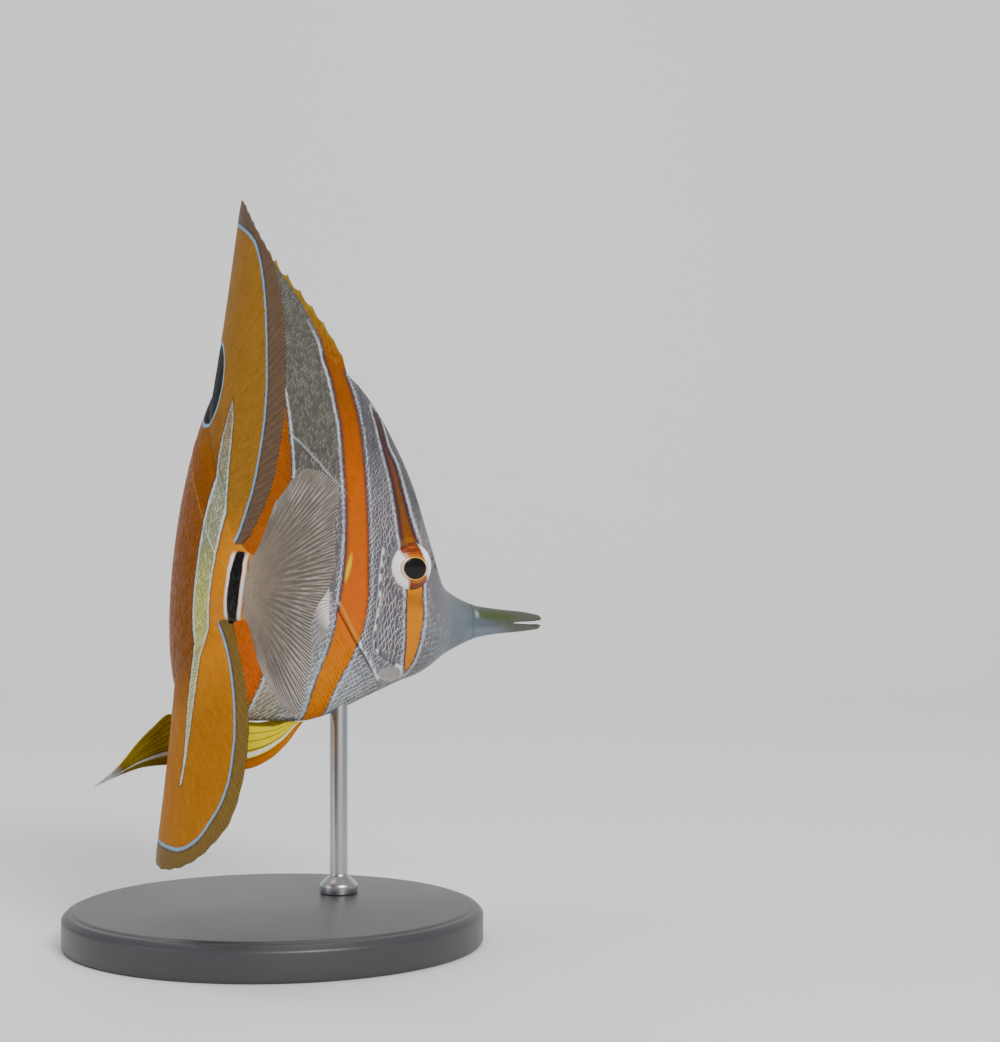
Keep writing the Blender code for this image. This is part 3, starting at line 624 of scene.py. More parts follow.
def surface(x, v, side, lift):
    """Straight places on the flank: v runs down the side, side is +1 or -1, lift is outward."""
    h = look_up(TABLE_H, x, v)
    w = look_up(TABLE_W, x, v)
    step = 0.004
    dh = look_up(TABLE_H, x, v + step) - look_up(TABLE_H, x, v - step)
    dw = look_up(TABLE_W, x, v + step) - look_up(TABLE_W, x, v - step)
    size = np.maximum(np.hypot(dh, dw), 1e-9)
    thin = fade(w, 0.0, 1.2)
    out = (relief(x, h) + lift) * thin
    middle = mouth_line(np.minimum(x, 8.0)) * (1 - fade(x, 2, 8))
    full = ends(x)
    h = middle + (h + out * dw / size - middle) * full
    w = (w - out * dh / size) * full
    return np.stack([x, h, side * np.maximum(w, 0.0)], -1)


def ring_places(inset):
    """Straight places of the skin's rings, from the snout's tip to the tail's root."""
    columns = np.arange(RING)
    v = np.where(columns <= RING // 2, columns, RING - columns) / (RING // 2)
    side = np.where(columns <= RING // 2, 1.0, -1.0)
    start = SNOUT_END + 0.15

    def rows(shares, front, rear):
        """Rings between two ends, each a function of the height."""
        share = shares[:, None]
        x = np.full((len(shares), RING), FIRST_X)
        for _ in range(ROUNDS):
            h = look_up(TABLE_H, x, v[None, :])
            x = 0.5 * x + 0.5 * (front(h) + share * (rear(h) - front(h)))
        return x

    def at(value):
        return lambda h: np.full(np.shape(h), float(value))

    def gill_plus(value):
        return lambda h: gill_line(h) + value

    tip = TIP_END * (np.arange(1, 27) / 26) ** 1.7
    blocks = [np.repeat(tip[:, None], RING, 1),
              rows(np.arange(1, 25) / 25, at(TIP_END), at(start)),
              rows(np.linspace(0, 1, 102), at(start), gill_plus(0.0))]
    first = sum(len(b) for b in blocks)
    lip = blocks[-1][-1]
    h = look_up(TABLE_H, lip, v)
    cover = in_gill_height(h)
    crease = ((0.05, False), (0.1, True), (0.18, True), (0.3, False))
    blocks.append(np.array([lip + ahead - 0.45 * cover * tucked for ahead, tucked in crease]))
    blocks.append(rows((np.arange(1, 45) / 45) ** 1.25, gill_plus(0.3), at(TRUNK_START)))
    blocks.append(rows(np.arange(0, 78) / 77.6, at(TRUNK_START), at(SKIN_END)))
    x = np.concatenate(blocks)
    lift = -inset * fade(x, *BARE_TO_SCALED)
    places = surface(x, v[None, :], side[None, :], lift)
    for k in range(len(crease)):
        level = COVER_RISE * (1 - k / 2.2) + SLIT_DEPTH if k < 3 else 0.0
        raised = surface(lip + 0.2, v, side, lift[first + k] + level * cover)
        places[first + k, :, 1:] = raised[:, 1:]
    return places


def open_eyes(p):
    """Sinks the skin inside the eye's opening and draws the vertices near its edge onto it."""
    dx = p[:, 0] - EYE[0]
    dh = p[:, 1] - EYE[1]
    away = np.maximum(np.hypot(dx, dh), 1e-6)
    near = (np.abs(away - EYE_OPENING) < 0.21) & (np.abs(p[:, 2]) > 2)
    p[near, 0] = EYE[0] + dx[near] / away[near] * EYE_OPENING
    p[near, 1] = EYE[1] + dh[near] / away[near] * EYE_OPENING
    within = (away < EYE_OPENING - 0.2) & (np.abs(p[:, 2]) > 2)
    ball = flank_width(*EYE) - EYE_SINK
    ball = ball + EYE_DEPTH * np.sqrt(np.clip(1 - (away / EYE_RADIUS) ** 2, 0, 1))
    sunk = np.minimum(np.abs(p[:, 2]), ball - 0.6)
    p[within, 2] = (np.sign(p[:, 2]) * sunk)[within]
    return p


def mouth_cutter():
    """The open mouth as a solid: a wedge that widens towards the lips and the tips of the jaws."""
    bm = bmesh.new()
    bmesh.ops.create_cube(bm, size=2.0)
    bmesh.ops.subdivide_edges(bm, edges=bm.edges[:], cuts=15, use_grid_fill=True)
    mesh = mesh_of(bm, "mouth_cutter")
    p = places_of(mesh)
    x = -1.0 + (MOUTH_END + 1.0) * (p[:, 0] + 1) / 2
    w = p[:, 2] * 3.0
    set_places(mesh, np.stack([x, mouth_line(x) + p[:, 1] * mouth_gap(x, w), w], 1))
    turn_outward(mesh)
    return mesh


def mouth_gap(x, w):
    """Half the height of the open mouth at a place between the jaws."""
    edge = np.clip(np.abs(w) / np.maximum(half_width(np.maximum(x, 0)), 0.5), 0, 1.3)
    gap = 0.5 * mouth_open(x) + 0.36 * edge ** 4 * fade(-x, -MOUTH_END, -2)
    gap = gap + 0.6 * np.clip(1 - np.maximum(x, 0) / 1.1, 0, 1) ** 3
    return np.maximum(gap * np.sqrt(np.clip((MOUTH_END - x) / 1.2, 0, 1)), 0.02)


def inner_parts(straight):
    """How far inside the mouth, a nostril and the gill slit each place lies, from 0 to 1, as masks of their
    painted shade.
    """
    x, h, w = straight.T
    on_cut = np.abs(np.abs(h - mouth_line(x)) - mouth_gap(x, w)) < 0.03
    depth = np.clip((half_width(np.maximum(x, 0)) * ends(x) - np.abs(w)) / 0.5, 0, 1)
    mouth = np.where(on_cut & (x < MOUTH_END + 0.1), depth, 0.0)
    nostril = np.zeros(len(x))
    for nx, nh, size in NOSTRILS:
        nostril = np.maximum(nostril, 1 - fade(np.hypot(x - nx, h - nh), 0.4 * size, 1.15 * size))
    behind = x - gill_line(h)
    slit = fade(behind, 0.02, 0.1) * (1 - fade(behind, 0.15, 0.6)) * in_gill_height(h)
    return np.stack([mouth, nostril, slit], 1)


def build_skin(sizes, paint):
    """One closed skin for jaws, snout, head, trunk and the tail's stalk."""
    rings = ring_places(sizes.coat_depth / MM)
    count = len(rings)
    bm = bmesh.new()
    bmesh.ops.create_uvsphere(bm, u_segments=RING, v_segments=count + 1, radius=1.0)
    mesh = mesh_of(bm, "skin")
    ball = places_of(mesh)
    ring = np.round(np.arccos(np.clip(ball[:, 2], -1, 1)) / math.pi * (count + 1)).astype(int)
    column = np.round(np.arctan2(ball[:, 1], ball[:, 0]) / (2 * math.pi) * RING).astype(int) % RING
    straight = rings[np.clip(ring - 1, 0, count - 1), column]
    straight[ring == 0] = (0.0, float(mouth_line(0)), 0.0)
    straight[ring == count + 1] = (SKIN_END, 0.0, 0.0)
    set_places(mesh, open_eyes(straight))
    turn_outward(mesh)

    body = bpy.data.objects.new("skin_blank", mesh)
    cutter = bpy.data.objects.new("mouth_cutter", mouth_cutter())
    for thing in (body, cutter):
        bpy.context.scene.collection.objects.link(thing)
    cut = body.modifiers.new("mouth", "BOOLEAN")
    cut.operation = "DIFFERENCE"
    cut.object = cutter
    cut.solver = "EXACT"
    graph = bpy.context.evaluated_depsgraph_get()
    finished = bpy.data.meshes.new_from_object(body.evaluated_get(graph))
    for thing in (body, cutter):
        bpy.data.objects.remove(thing)
    straight = places_of(finished)
    store_marks(finished, straight)
    set_vectors(finished, "inner", inner_parts(straight))
    set_places(finished, pose(straight))
    finished.shade_smooth()
    finished.set_sharp_from_angle(angle=math.radians(55))
    finished.name = "skin"
    return place_piece(finished, "skin", paint,
                       ("jaw_upper", "jaw_lower", "snout", "head", "trunk_front", "trunk_middle",
                        "trunk_rear", "tail_stalk"))


# Scales

SCALE_FLAT = 0.88

# Pitch that the lift of a scale is stated for, and half the width of a scale's patch on the map
FULL_PITCH = 1.5
HALF_PATCH = 0.0015

# Where the coats of the head and of the body start and end in x
HEAD_REACH = (25.0, 62.0)
BODY_REACH = (40.0, 133.4)


def scale_blank():
    """One scale as a thin plate of a few dozen faces: a runs back, b up and c outward."""
    bm = bmesh.new()
    bmesh.ops.create_uvsphere(bm, u_segments=10, v_segments=3, radius=1.0)
    bmesh.ops.triangulate(bm, faces=bm.faces[:])
    mesh = mesh_of(bm, "scale_blank")
    faces = np.array([p.vertices[:] for p in mesh.polygons])
    blank = places_of(mesh)
    reach = np.hypot(blank[:, 0], blank[:, 1])
    upper = (reach > 0.1) & (blank[:, 2] > 0)
    lower = (reach > 0.1) & (blank[:, 2] < 0)
    blank[upper, :2] *= SCALE_FLAT / reach[upper, None]
    blank[lower, :2] /= reach[lower, None]
    blank[upper, 2] = 0.7
    blank[lower, 2] = 0.0
    bpy.data.meshes.remove(mesh)
    return blank, faces


def scale_roots(pitch, row, low, high, keep):
    """Roots of scales in offset rows along the side, where keep says so: x and height along the side."""
    roots = []
    reach = 50.0
    for j in range(int(-reach / row), int(reach / row) + 1):
        shift = 0.5 * pitch * (j % 2)
        xs = np.arange(low + shift, high, pitch)
        roots.append(np.stack([xs, np.full(len(xs), j * row)], 1))
    roots = np.concatenate(roots)
    x, t = roots.T
    v = 0.5 - t / side_length(x)
    h = look_up(TABLE_H, x, v)
    w = look_up(TABLE_W, x, v)
    return roots[(v > 0.004) & (v < 0.996) & (w > 0.5) & keep(x, h)]


def lay_scales(name, roots, side, pitch, row, seed, depth, paint, tilt, loose):
    """A coat of scales at the roots, each tipped up towards the tail."""
    rng = np.random.default_rng(seed)
    blank, faces = scale_blank()
    count = len(roots)
    roots = roots + rng.normal(0, 1, (count, 2)) * (loose * pitch, 0.7 * loose * row)
    size = rng.uniform(0.9, 1.08, (count, 1))
    a = blank[None, :, 0] * 0.80 * pitch * size
    b = blank[None, :, 1] * (0.66 - 0.08 * blank[None, :, 0]) * row * size
    tip = rng.uniform(0.85, 1.15, (count, 1))
    small = pitch / FULL_PITCH
    root_h = look_up(TABLE_H, roots[:, 0], 0.5 - roots[:, 1] / side_length(roots[:, 0]))
    band = np.maximum.reduce([f(roots[:, 0], root_h) for f in FIELDS["marks_a"]])
    raised = (1 - 0.45 * fade(band, -0.5, 0.5))[:, None]
    lift = (-0.09 + tilt * (blank[None, :, 0] + 1) * tip * raised + 0.04 * blank[None, :, 2]) * small
    x = roots[:, :1] + a + 0.2 * pitch
    t = roots[:, 1:] + b
    v = 0.5 - t / side_length(x)
    straight = surface(x, np.clip(v, 0, 1), side, lift - depth * fade(x, *BARE_TO_SCALED))
    straight = straight.reshape(-1, 3)
    root_u = (roots[:, 0] / SKIN_END * 0.47) + (0.01 if side > 0 else 0.51)
    root_v = 0.5 + roots[:, 1] / 100
    uv = np.stack([root_u, root_v], 1)[:, None] + blank[None, :, :2] * HALF_PATCH
    return coat_piece(name, straight, uv, blank, faces, rng, paint)


def coat_piece(name, straight, uv, blank, faces, rng, paint, rays=None):
    """One piece of coat from its scales' straight places and their patches on the map."""
    count = len(straight) // len(blank)
    tris = (faces[None] + (np.arange(count) * len(blank))[:, None, None]).reshape(-1, 3)
    mesh = bpy.data.meshes.new(name)
    mesh.from_pydata(pose(straight), [], tris)
    store_marks(mesh, straight)
    chance = np.repeat(rng.random(count), len(blank))
    rims = np.tile(np.hypot(blank[:, 0], blank[:, 1]), count)
    rears = np.tile(blank[:, 0], count)
    set_vectors(mesh, "scale", np.stack([rims, rears, chance], 1))
    if rays is not None:
        set_vectors(mesh, "fin", rays)
    layer = mesh.uv_layers.new(name="OFBake")
    corners = np.zeros(len(mesh.loops), np.int32)
    mesh.loops.foreach_get("vertex_index", corners)
    layer.data.foreach_set("uv", uv.reshape(-1, 2)[corners].astype(np.float32).ravel())
    turn_outward(mesh)
    return place_piece(mesh, name, paint)


def build_scales(sizes, paint):
    """Coats of scales on both sides of the head and of the body."""
    pitch = sizes.scale_pitch / MM
    above_line = curve_through(LATERAL_LINE)

    def on_head(x, h):
        eye = np.hypot(x + 0.3 - EYE[0], h - EYE[1])
        front = 32.2 + 0.62 * np.minimum(h, 3.0) + 0.08 * np.maximum(h - 3.0, 0.0)
        bare = x < front + 3.0 * (np.sin(x * 41.3 + h * 27.1) * 0.5 + 0.5) ** 2
        fold = np.minimum(distance_to(smooth_line(PREOPERCLE), x, h), 9.0)
        gap = 1.2 - 0.9 * (h > 0)
        scaled = (eye > EYE_OPENING + 0.7) & ~bare & (fold > 0.46) & (oval(LOWER_FLAP, x, h) > 1)
        return scaled & (x < gill_line(h) - gap)

    def on_body(x, h):
        return (x > gill_line(h) + 0.6 - 0.4 * (h > 0)) & (oval(BREAST_PAD, x, h) > 0.9)

    def on_back(x, h):
        return on_body(x, h) & (h > above_line(np.maximum(x, 58.0)) + 0.2)

    def on_flank(x, h):
        return on_body(x, h) & ~on_back(x, h)

    def on_nape(x, h):
        return on_head(x, h) & (h > 21.0)

    def on_face(x, h):
        ahead = (FIELDS["marks_a"][0](x, h) < 0) & (x < 43 + 0.25 * h)
        return on_head(x, h) & ahead & ~on_nape(x, h)

    def on_cover(x, h):
        behind = (x > 48.7) | (h < np.interp(x, *zip(*FOLD_FOOT)))
        return on_head(x, h) & behind & ~on_face(x, h) & ~on_nape(x, h)

    def on_cheek(x, h):
        return on_head(x, h) & ~on_cover(x, h) & ~on_face(x, h) & ~on_nape(x, h)

    # Each coat: where it lies and between which x, then its scales' length and row in pitches, seed,
    # tilt and looseness. The coats of the fins have the lean of their rows in place of a reach.
    coats = {
        "face": (on_face, HEAD_REACH, 0.78, 0.5, 9, 0.045, 0.09),
        "nape": (on_nape, HEAD_REACH, 0.66, 0.42, 15, 0.05, 0.1),
        "cheek": (on_cheek, HEAD_REACH, 0.72, 0.92, 11, 0.06, 0.11),
        "cover": (on_cover, HEAD_REACH, 0.62, 0.46, 61, 0.055, 0.11),
        "flank": (on_flank, BODY_REACH, 0.94, 0.47, 21, 0.075, 0.08),
        "back": (on_back, BODY_REACH, 0.7, 0.35, 26, 0.085, 0.08),
    }
    fin_coats = {
        "dorsal": (on_soft_fin(DORSAL_FIN), 42, 0.62, 31),
        "anal": (on_soft_fin(ANAL_FIN), -38, 0.62, 41),
        "spiny": (on_spiny_fin(), 24, 0.68, 51),
    }
    for side, hand in SIDES:
        for name, (keep, reach, length, row, seed, tilt, loose) in coats.items():
            roots = scale_roots(length * pitch, row * pitch, *reach, keep)
            lay_scales("scales_%s_%s" % (name, hand), roots, side, length * pitch, 2 * row * pitch,
                       seed + side, sizes.coat_depth / MM, paint, tilt, loose)
        for name, (fin, lean, length, seed) in fin_coats.items():
            lay_fin_scales("scales_%s_%s" % (name, hand), fin, side, lean, length * pitch,
                           seed + side, paint)


def fin_shares(x, h, outline, roots, edge, sign):
    """Share along a long fin and share out along its rays, for places on the chart."""
    tip_line = along(outline)
    low = np.zeros(np.shape(x))
    high = np.ones(np.shape(x))
    for _ in range(24):
        share = (low + high) / 2
        root_x = roots[0] + (roots[1] - roots[0]) * share
        root_h = edge(root_x) - sign * ROOT_SINK
        tip_x, tip_h = tip_line(share)
        turn = (tip_x - root_x) * (h - root_h) - (tip_h - root_h) * (x - root_x)
        ahead = sign * turn > 0
        high = np.where(ahead, share, high)
        low = np.where(ahead, low, share)
    span = (tip_x - root_x) ** 2 + (tip_h - root_h) ** 2
    out = ((tip_x - root_x) * (x - root_x) + (tip_h - root_h) * (h - root_h)) / span
    return share, out


def on_soft_fin(fin):
    """Where a long fin is scaled and how thick it is there."""
    outline, roots, edge, sign, count = fin
    shape = soft_fin(*fin)

    def measure(x, h):
        share, out = fin_shares(x, h, outline, roots, edge, sign)
        half = shape(share, np.clip(out, 0, 1))[3]
        rays = np.stack([share * (count - 1), out, np.full(np.shape(x), 9.0)], -1)
        scaled = (out < 0.93) & (share > 0.004) & (share < 0.99) & (skin_half(x, h) < 0.8)
        scaled &= (FIELDS["marks_c"][0](x, h) > 1.0) & (sign * (h - edge(x)) > 0.3)
        return scaled, half, rays

    return measure, np.mean(outline, axis=0)


def on_spiny_fin():
    """Where the spiny part of the dorsal fin is scaled and how thick it is there."""
    tip_height = curve_through(SPINE_TIPS)

    def measure(x, h):
        out = (h - back(x) + ROOT_SINK) / (tip_height(x) - back(x) + ROOT_SINK)
        rear = 83.6 + (h - back(83.5)) * 0.235
        scaled = (x > 61.5) & (x < rear) & (h > back(x) + 0.3) & (skin_half(x, h) < 0.8)
        scaled &= (FIELDS["marks_a"][1](x, h) < -0.4) & (out < 0.97)
        rays = np.stack([(x - 61.5) * 0.4, out, (1 - out) * (tip_height(x) - back(x))], -1)
        return scaled, 0.22 + 0.45 * (1 - np.clip(out, 0, 1)) ** 2, rays

    return measure, np.array([76.0, 60.0])


def lay_fin_scales(name, fin, side, lean, pitch, seed, paint):
    """Small scales on the inner part of a long fin, in rows that lean by an angle on the chart."""
    measure, middle = fin
    lean = math.radians(lean)
    run = np.array([math.cos(lean), math.sin(lean)])
    rise = np.array([-math.sin(lean), math.cos(lean)])
    steps = np.arange(-70, 71)
    i, j = np.meshgrid(steps, np.arange(-140, 141), indexing="ij")
    shift = (i + 0.5 * (j % 2)).ravel()[:, None] * pitch * run
    roots_at = middle + shift + j.ravel()[:, None] * 0.5 * pitch * rise
    rng = np.random.default_rng(seed)
    roots_at = roots_at + rng.normal(0, 0.09 * pitch, roots_at.shape)
    roots_at = roots_at[measure(*roots_at.T)[0]]
    blank, faces = scale_blank()
    count = len(roots_at)
    size = rng.uniform(0.9, 1.06, (count, 1))
    a = (blank[None, :, 0] * 0.82 * size + 0.2) * pitch
    b = blank[None, :, 1] * 0.66 * pitch * size
    x = (roots_at[:, :1] + a * run[0] + b * rise[0]).ravel()
    h = (roots_at[:, 1:] + a * run[1] + b * rise[1]).ravel()
    _scaled, half, rays = measure(x, h)
    small = pitch / FULL_PITCH
    lift = (-0.05 + 0.035 * (blank[None, :, 0] + 1) + 0.04 * blank[None, :, 2]) * small
    w = np.maximum(half, skin_half(x, h) - 0.1) + np.tile(lift, (count, 1)).ravel()
    straight = np.stack([x, h, side * w], 1)
    chart = roots_at / (160.0, 146.0) + (0.01, 0.43)
    uv = chart[:, None] * (0.47, 1.0) + (0.0 if side > 0 else 0.5, 0.0)
    uv = uv + blank[None, :, :2] * HALF_PATCH
    return coat_piece(name, straight, uv, blank, faces, rng, paint, rays)


# Eyes

def build_eye(side, name, paint):
    """An eyeball with a raised clear front over the pupil."""
    bm = bmesh.new()
    bmesh.ops.create_uvsphere(bm, u_segments=72, v_segments=48, radius=1.0)
    mesh = mesh_of(bm, name)
    ball = places_of(mesh)
    front = np.where(ball[:, 2] > 0, 1.0, 0.0)
    away = np.hypot((ball[:, 0] * EYE_RADIUS - PUPIL_SHIFT) / PUPIL_STRETCH,
                    ball[:, 1] * EYE_RADIUS + PUPIL_DROP)
    bulge = 0.32 * np.exp(-(away / 2.9) ** 4) * front
    centre = (EYE[0], EYE[1], flank_width(*EYE) - EYE_SINK)
    straight = np.stack([centre[0] + EYE_RADIUS * ball[:, 0], centre[1] + EYE_RADIUS * ball[:, 1],
                         side * (centre[2] + EYE_DEPTH * ball[:, 2] + bulge)], 1)
    set_vectors(mesh, "eye", np.stack([ball[:, 0] * EYE_RADIUS, ball[:, 1] * EYE_RADIUS, away], 1))
    set_places(mesh, pose(straight))
    turn_outward(mesh)
    return place_piece(mesh, name, paint, (name,))


# Fins

def midway(number):
    """0 on a ray and 1 half way between two."""
    return np.abs(number - np.round(number)) * 2


def ray_distance(number, share, split, fork):
    """How far a place lies from the nearest ray, in ray numbers; rays part twice towards their tips."""
    off = np.abs(number - np.round(number))
    first = 0.25 * fade(share, *split)
    second = 0.125 * fade(share, *fork)
    return np.abs(np.abs(off - first) - second)


def blade(name, columns, rows, shape, paint, nodes, hang_x=None):
    """A thin closed sheet; shape gives its middle place, half thickness and ray data from two shares."""
    bm = bmesh.new()
    bmesh.ops.create_grid(bm, x_segments=columns, y_segments=rows, size=1.0)
    bmesh.ops.solidify(bm, geom=bm.faces[:], thickness=0.1)
    mesh = mesh_of(bm, name)
    flat = places_of(mesh)
    across = np.clip((flat[:, 0] + 1) / 2, 0, 1)
    out = np.clip((flat[:, 1] + 1) / 2, 0, 1)
    side = np.where(flat[:, 2] > flat[:, 2].mean(), 1.0, -1.0)
    x, h, w, half, fin = shape(across, out)
    straight = np.stack([x, h, w + side * half], 1)
    store_marks(mesh, straight)
    set_vectors(mesh, "fin", fin)
    set_places(mesh, pose(straight, hang_x))
    turn_outward(mesh)
    return place_piece(mesh, name, paint, nodes)


def spiny_fin(tips, roots, edge, sign, rear_root, rear_tip, sheath=(0.0, 0.1)):
    """Shape of a fin of stiff spines, smooth below its sheath; its rear runs on to the first soft ray."""
    count = len(tips)
    outline = list(tips) + [rear_tip]
    tip_line = along(outline)
    lengths = np.linalg.norm(np.diff(np.array(outline, float), axis=0), axis=1)
    stops = running_sum(lengths) / lengths.sum()

    def bare(out):
        return 0.12 + 0.88 * fade(out, *sheath)

    def shape(across, out):
        number = across * count
        share = np.interp(number, np.arange(count + 1), stops)
        root_x = np.interp(number, [0, count - 1, count], [roots[0], roots[1], rear_root])
        root_h = edge(root_x) - sign * ROOT_SINK
        tip_x, tip_h = tip_line(share)
        off = midway(number)
        last = fade(number, count - 1, count - 0.6)
        dip = 0.08 * np.sqrt(np.clip(off, 0, 1)) * (1 - last)
        reach = out * (1 - dip * out)
        x = root_x + (tip_x - root_x) * reach
        h = root_h + (tip_h - root_h) * reach
        spine = np.exp(-(off / 0.22) ** 2) * (number < count - 0.5)
        half = 0.16 + 0.45 * (1 - out) ** 2 + 0.42 * spine * (1 - 0.75 * out) * bare(out)
        half = half * (1 - 0.6 * fade(out, 0.9, 1.0))
        fin = np.stack([number, out, (1 - reach) * np.hypot(tip_x - root_x, tip_h - root_h)], 1)
        return x, h, np.zeros(len(x)), half, fin

    return shape


def soft_fin(outline, roots, edge, sign, rays):
    """Shape of a long fin of soft rays that part towards their tips."""
    tip_line = along(outline)

    def shape(across, out):
        number = across * (rays - 1)
        root_x = roots[0] + (roots[1] - roots[0]) * across
        root_h = edge(root_x) - sign * ROOT_SINK
        tip_x, tip_h = tip_line(across)
        length = np.hypot(tip_x - root_x, tip_h - root_h)
        off = midway(number)
        reach = out * (1 - np.minimum(0.28 / length, 0.05) * off * fade(out, 0.7, 1))
        x = root_x + (tip_x - root_x) * reach
        h = root_h + (tip_h - root_h) * reach
        away = ray_distance(number, out, *SOFT_FORKS) * (1.5 + 1.4 * out)
        ridge = np.exp(-(away / 0.2) ** 2)
        half = 0.18 + 0.72 * (1 - out) ** 3 + 0.035 * ridge * (1 - 0.3 * out)
        half = half * (1 - 0.6 * fade(out, 0.93, 1.0))
        fin = np.stack([number, out, (1 - reach) * length], 1)
        return x, h, np.zeros(len(x)), half, fin

    return shape


def caudal_shape(across, out):
    """Shape of the open tail fin, gently pleated."""
    number = across * (CAUDAL_RAYS - 1)
    tip_x, tip_h = along(CAUDAL)(across)
    root_h = CAUDAL_ROOT_H * (1 - 2 * across)
    length = np.hypot(tip_x - CAUDAL_ROOT_X, tip_h - root_h)
    off = midway(number)
    reach = out * (1 - np.minimum(0.3 / length, 0.05) * off * fade(out, 0.7, 1))
    x = CAUDAL_ROOT_X + (tip_x - CAUDAL_ROOT_X) * reach
    h = root_h + (tip_h - root_h) * reach
    away = ray_distance(number, out, (0.22, 0.62), (0.55, 0.95)) * (0.7 + 3.0 * out)
    ridge = np.exp(-(away / 0.17) ** 2)
    half = 0.14 + 1.3 * (1 - out) ** 7 + 0.06 * ridge * fade(out, 0.15, 0.4) * (1 - 0.55 * out)
    half = half * (1 - 0.6 * fade(out, 0.95, 1.0))
    pleat = 0.35 * out * np.sin(number * 1.9 + 0.6) + 0.3 * out * out * np.sin(across * 7.0)
    fin = np.stack([number, out, (1 - reach) * length], 1)
    return x, h, pleat, half, fin


def pectoral_shape(side):
    """Shape of the clear fan behind the gill cover."""
    lengths = curve_through(PECTORAL_LENGTHS)

    def shape(across, out):
        number = across * (PECTORAL_RAYS - 1)
        root_x = PECTORAL_TOP[0] * (1 - across) + PECTORAL_FOOT[0] * across
        root_h = PECTORAL_TOP[1] * (1 - across) + PECTORAL_FOOT[1] * across
        angle = np.radians(PECTORAL_ANGLES[0] * (1 - across) + PECTORAL_ANGLES[1] * across)
        off = midway(number)
        reach = lengths(across) * out * (1 - 0.02 * off * fade(out, 0.8, 1))
        x = root_x + reach * np.cos(angle)
        h = root_h + reach * np.sin(angle)
        w = flank_width(x, h) + 0.35 + (PECTORAL_CLEARANCE - 0.35) * fade(reach, 0, 4)
        w = w + PECTORAL_SPREAD * reach
        away = ray_distance(number, out, *PECTORAL_FORKS) * (0.55 + 2.0 * out)
        half = 0.1 + 0.35 * (1 - out) ** 3 + 0.15 * np.exp(-(away / 0.15) ** 2) * (1 - 0.6 * out)
        half = half * (1 - 0.5 * fade(out, 0.93, 1.0))
        fin = np.stack([number, out, lengths(across) * (1 - out)], 1)
        return x, h, side * w, half, fin

    return shape


def pelvic_shape(side):
    """Shape of the long pointed fin below the belly, with its stout spine along the lower edge."""
    leading = along(PELVIC_LEADING)
    trailing = along(PELVIC_TRAILING)

    def shape(across, out):
        lead_x, lead_h = leading(out)
        trail_x, trail_h = trailing(out)
        root = 1.1 * (1 - fade(out, 0.0, 0.12))
        x = lead_x * (1 - across) + trail_x * across
        h = lead_h * (1 - across) + trail_h * across + root
        spread = fade(x, PELVIC_ROOT_X, PELVIC_ROOT_X + PELVIC_SPREAD_REACH)
        w = PELVIC_ROOT_W + (PELVIC_SPREAD_W - PELVIC_ROOT_W) * spread
        number = across * 5
        away = ray_distance(number, out, *PELVIC_FORKS) * (1.6 + 0.4 * out)
        spine = np.exp(-(across / 0.1) ** 2)
        half = 0.16 + 0.15 * np.exp(-(away / 0.17) ** 2) + 0.42 * spine * (1 - 0.75 * out)
        narrow = np.hypot(lead_x - trail_x, lead_h - trail_h)
        half = half * (0.35 + 0.65 * fade(narrow, 0.0, 1.5))
        fin = np.stack([number, out, across * narrow], 1)
        return x, h, side * w, half, fin

    return shape


DORSAL_FIN = (SOFT_DORSAL, SOFT_DORSAL_ROOTS, back, 1, SOFT_DORSAL_RAYS)
ANAL_FIN = (SOFT_ANAL, SOFT_ANAL_ROOTS, belly, -1, SOFT_ANAL_RAYS)


def build_middle_fins(paints):
    """Dorsal, anal and tail fins."""
    spines = spiny_fin(SPINE_TIPS, SPINE_ROOTS, back, 1, 83.9, SOFT_DORSAL[0], (0.8, 0.97))
    blade("dorsal_spiny", 180, 36, spines, paints["soft"], ("dorsal_spines",))
    blade("dorsal_soft", 336, 60, soft_fin(*DORSAL_FIN), paints["soft"],
          ("dorsal_soft_front", "dorsal_soft_rear"))
    spines = spiny_fin(ANAL_SPINE_TIPS, ANAL_SPINE_ROOTS, belly, -1, 83.0, SOFT_ANAL[0])
    blade("anal_spiny", 72, 36, spines, paints["soft"], ("anal_spines",))
    blade("anal_soft", 304, 56, soft_fin(*ANAL_FIN), paints["soft"],
          ("anal_soft_front", "anal_soft_rear"))
    blade("caudal", 320, 60, caudal_shape, paints["caudal"], ("caudal_fin",))


def build_paired_fins(paints):
    """Pectoral and pelvic fins of both sides."""
    for side, hand in SIDES:
        node = "pectoral_fin_" + hand
        blade("pectoral_" + hand, 208, 44, pectoral_shape(side), paints["pectoral"], (node,))
        node = "pelvic_fin_" + hand
        hang = None if side > 0 else PELVIC_HANG_X
        blade("pelvic_" + hand, 100, 80, pelvic_shape(side), paints["pelvic"], (node,), hang)


# Stand

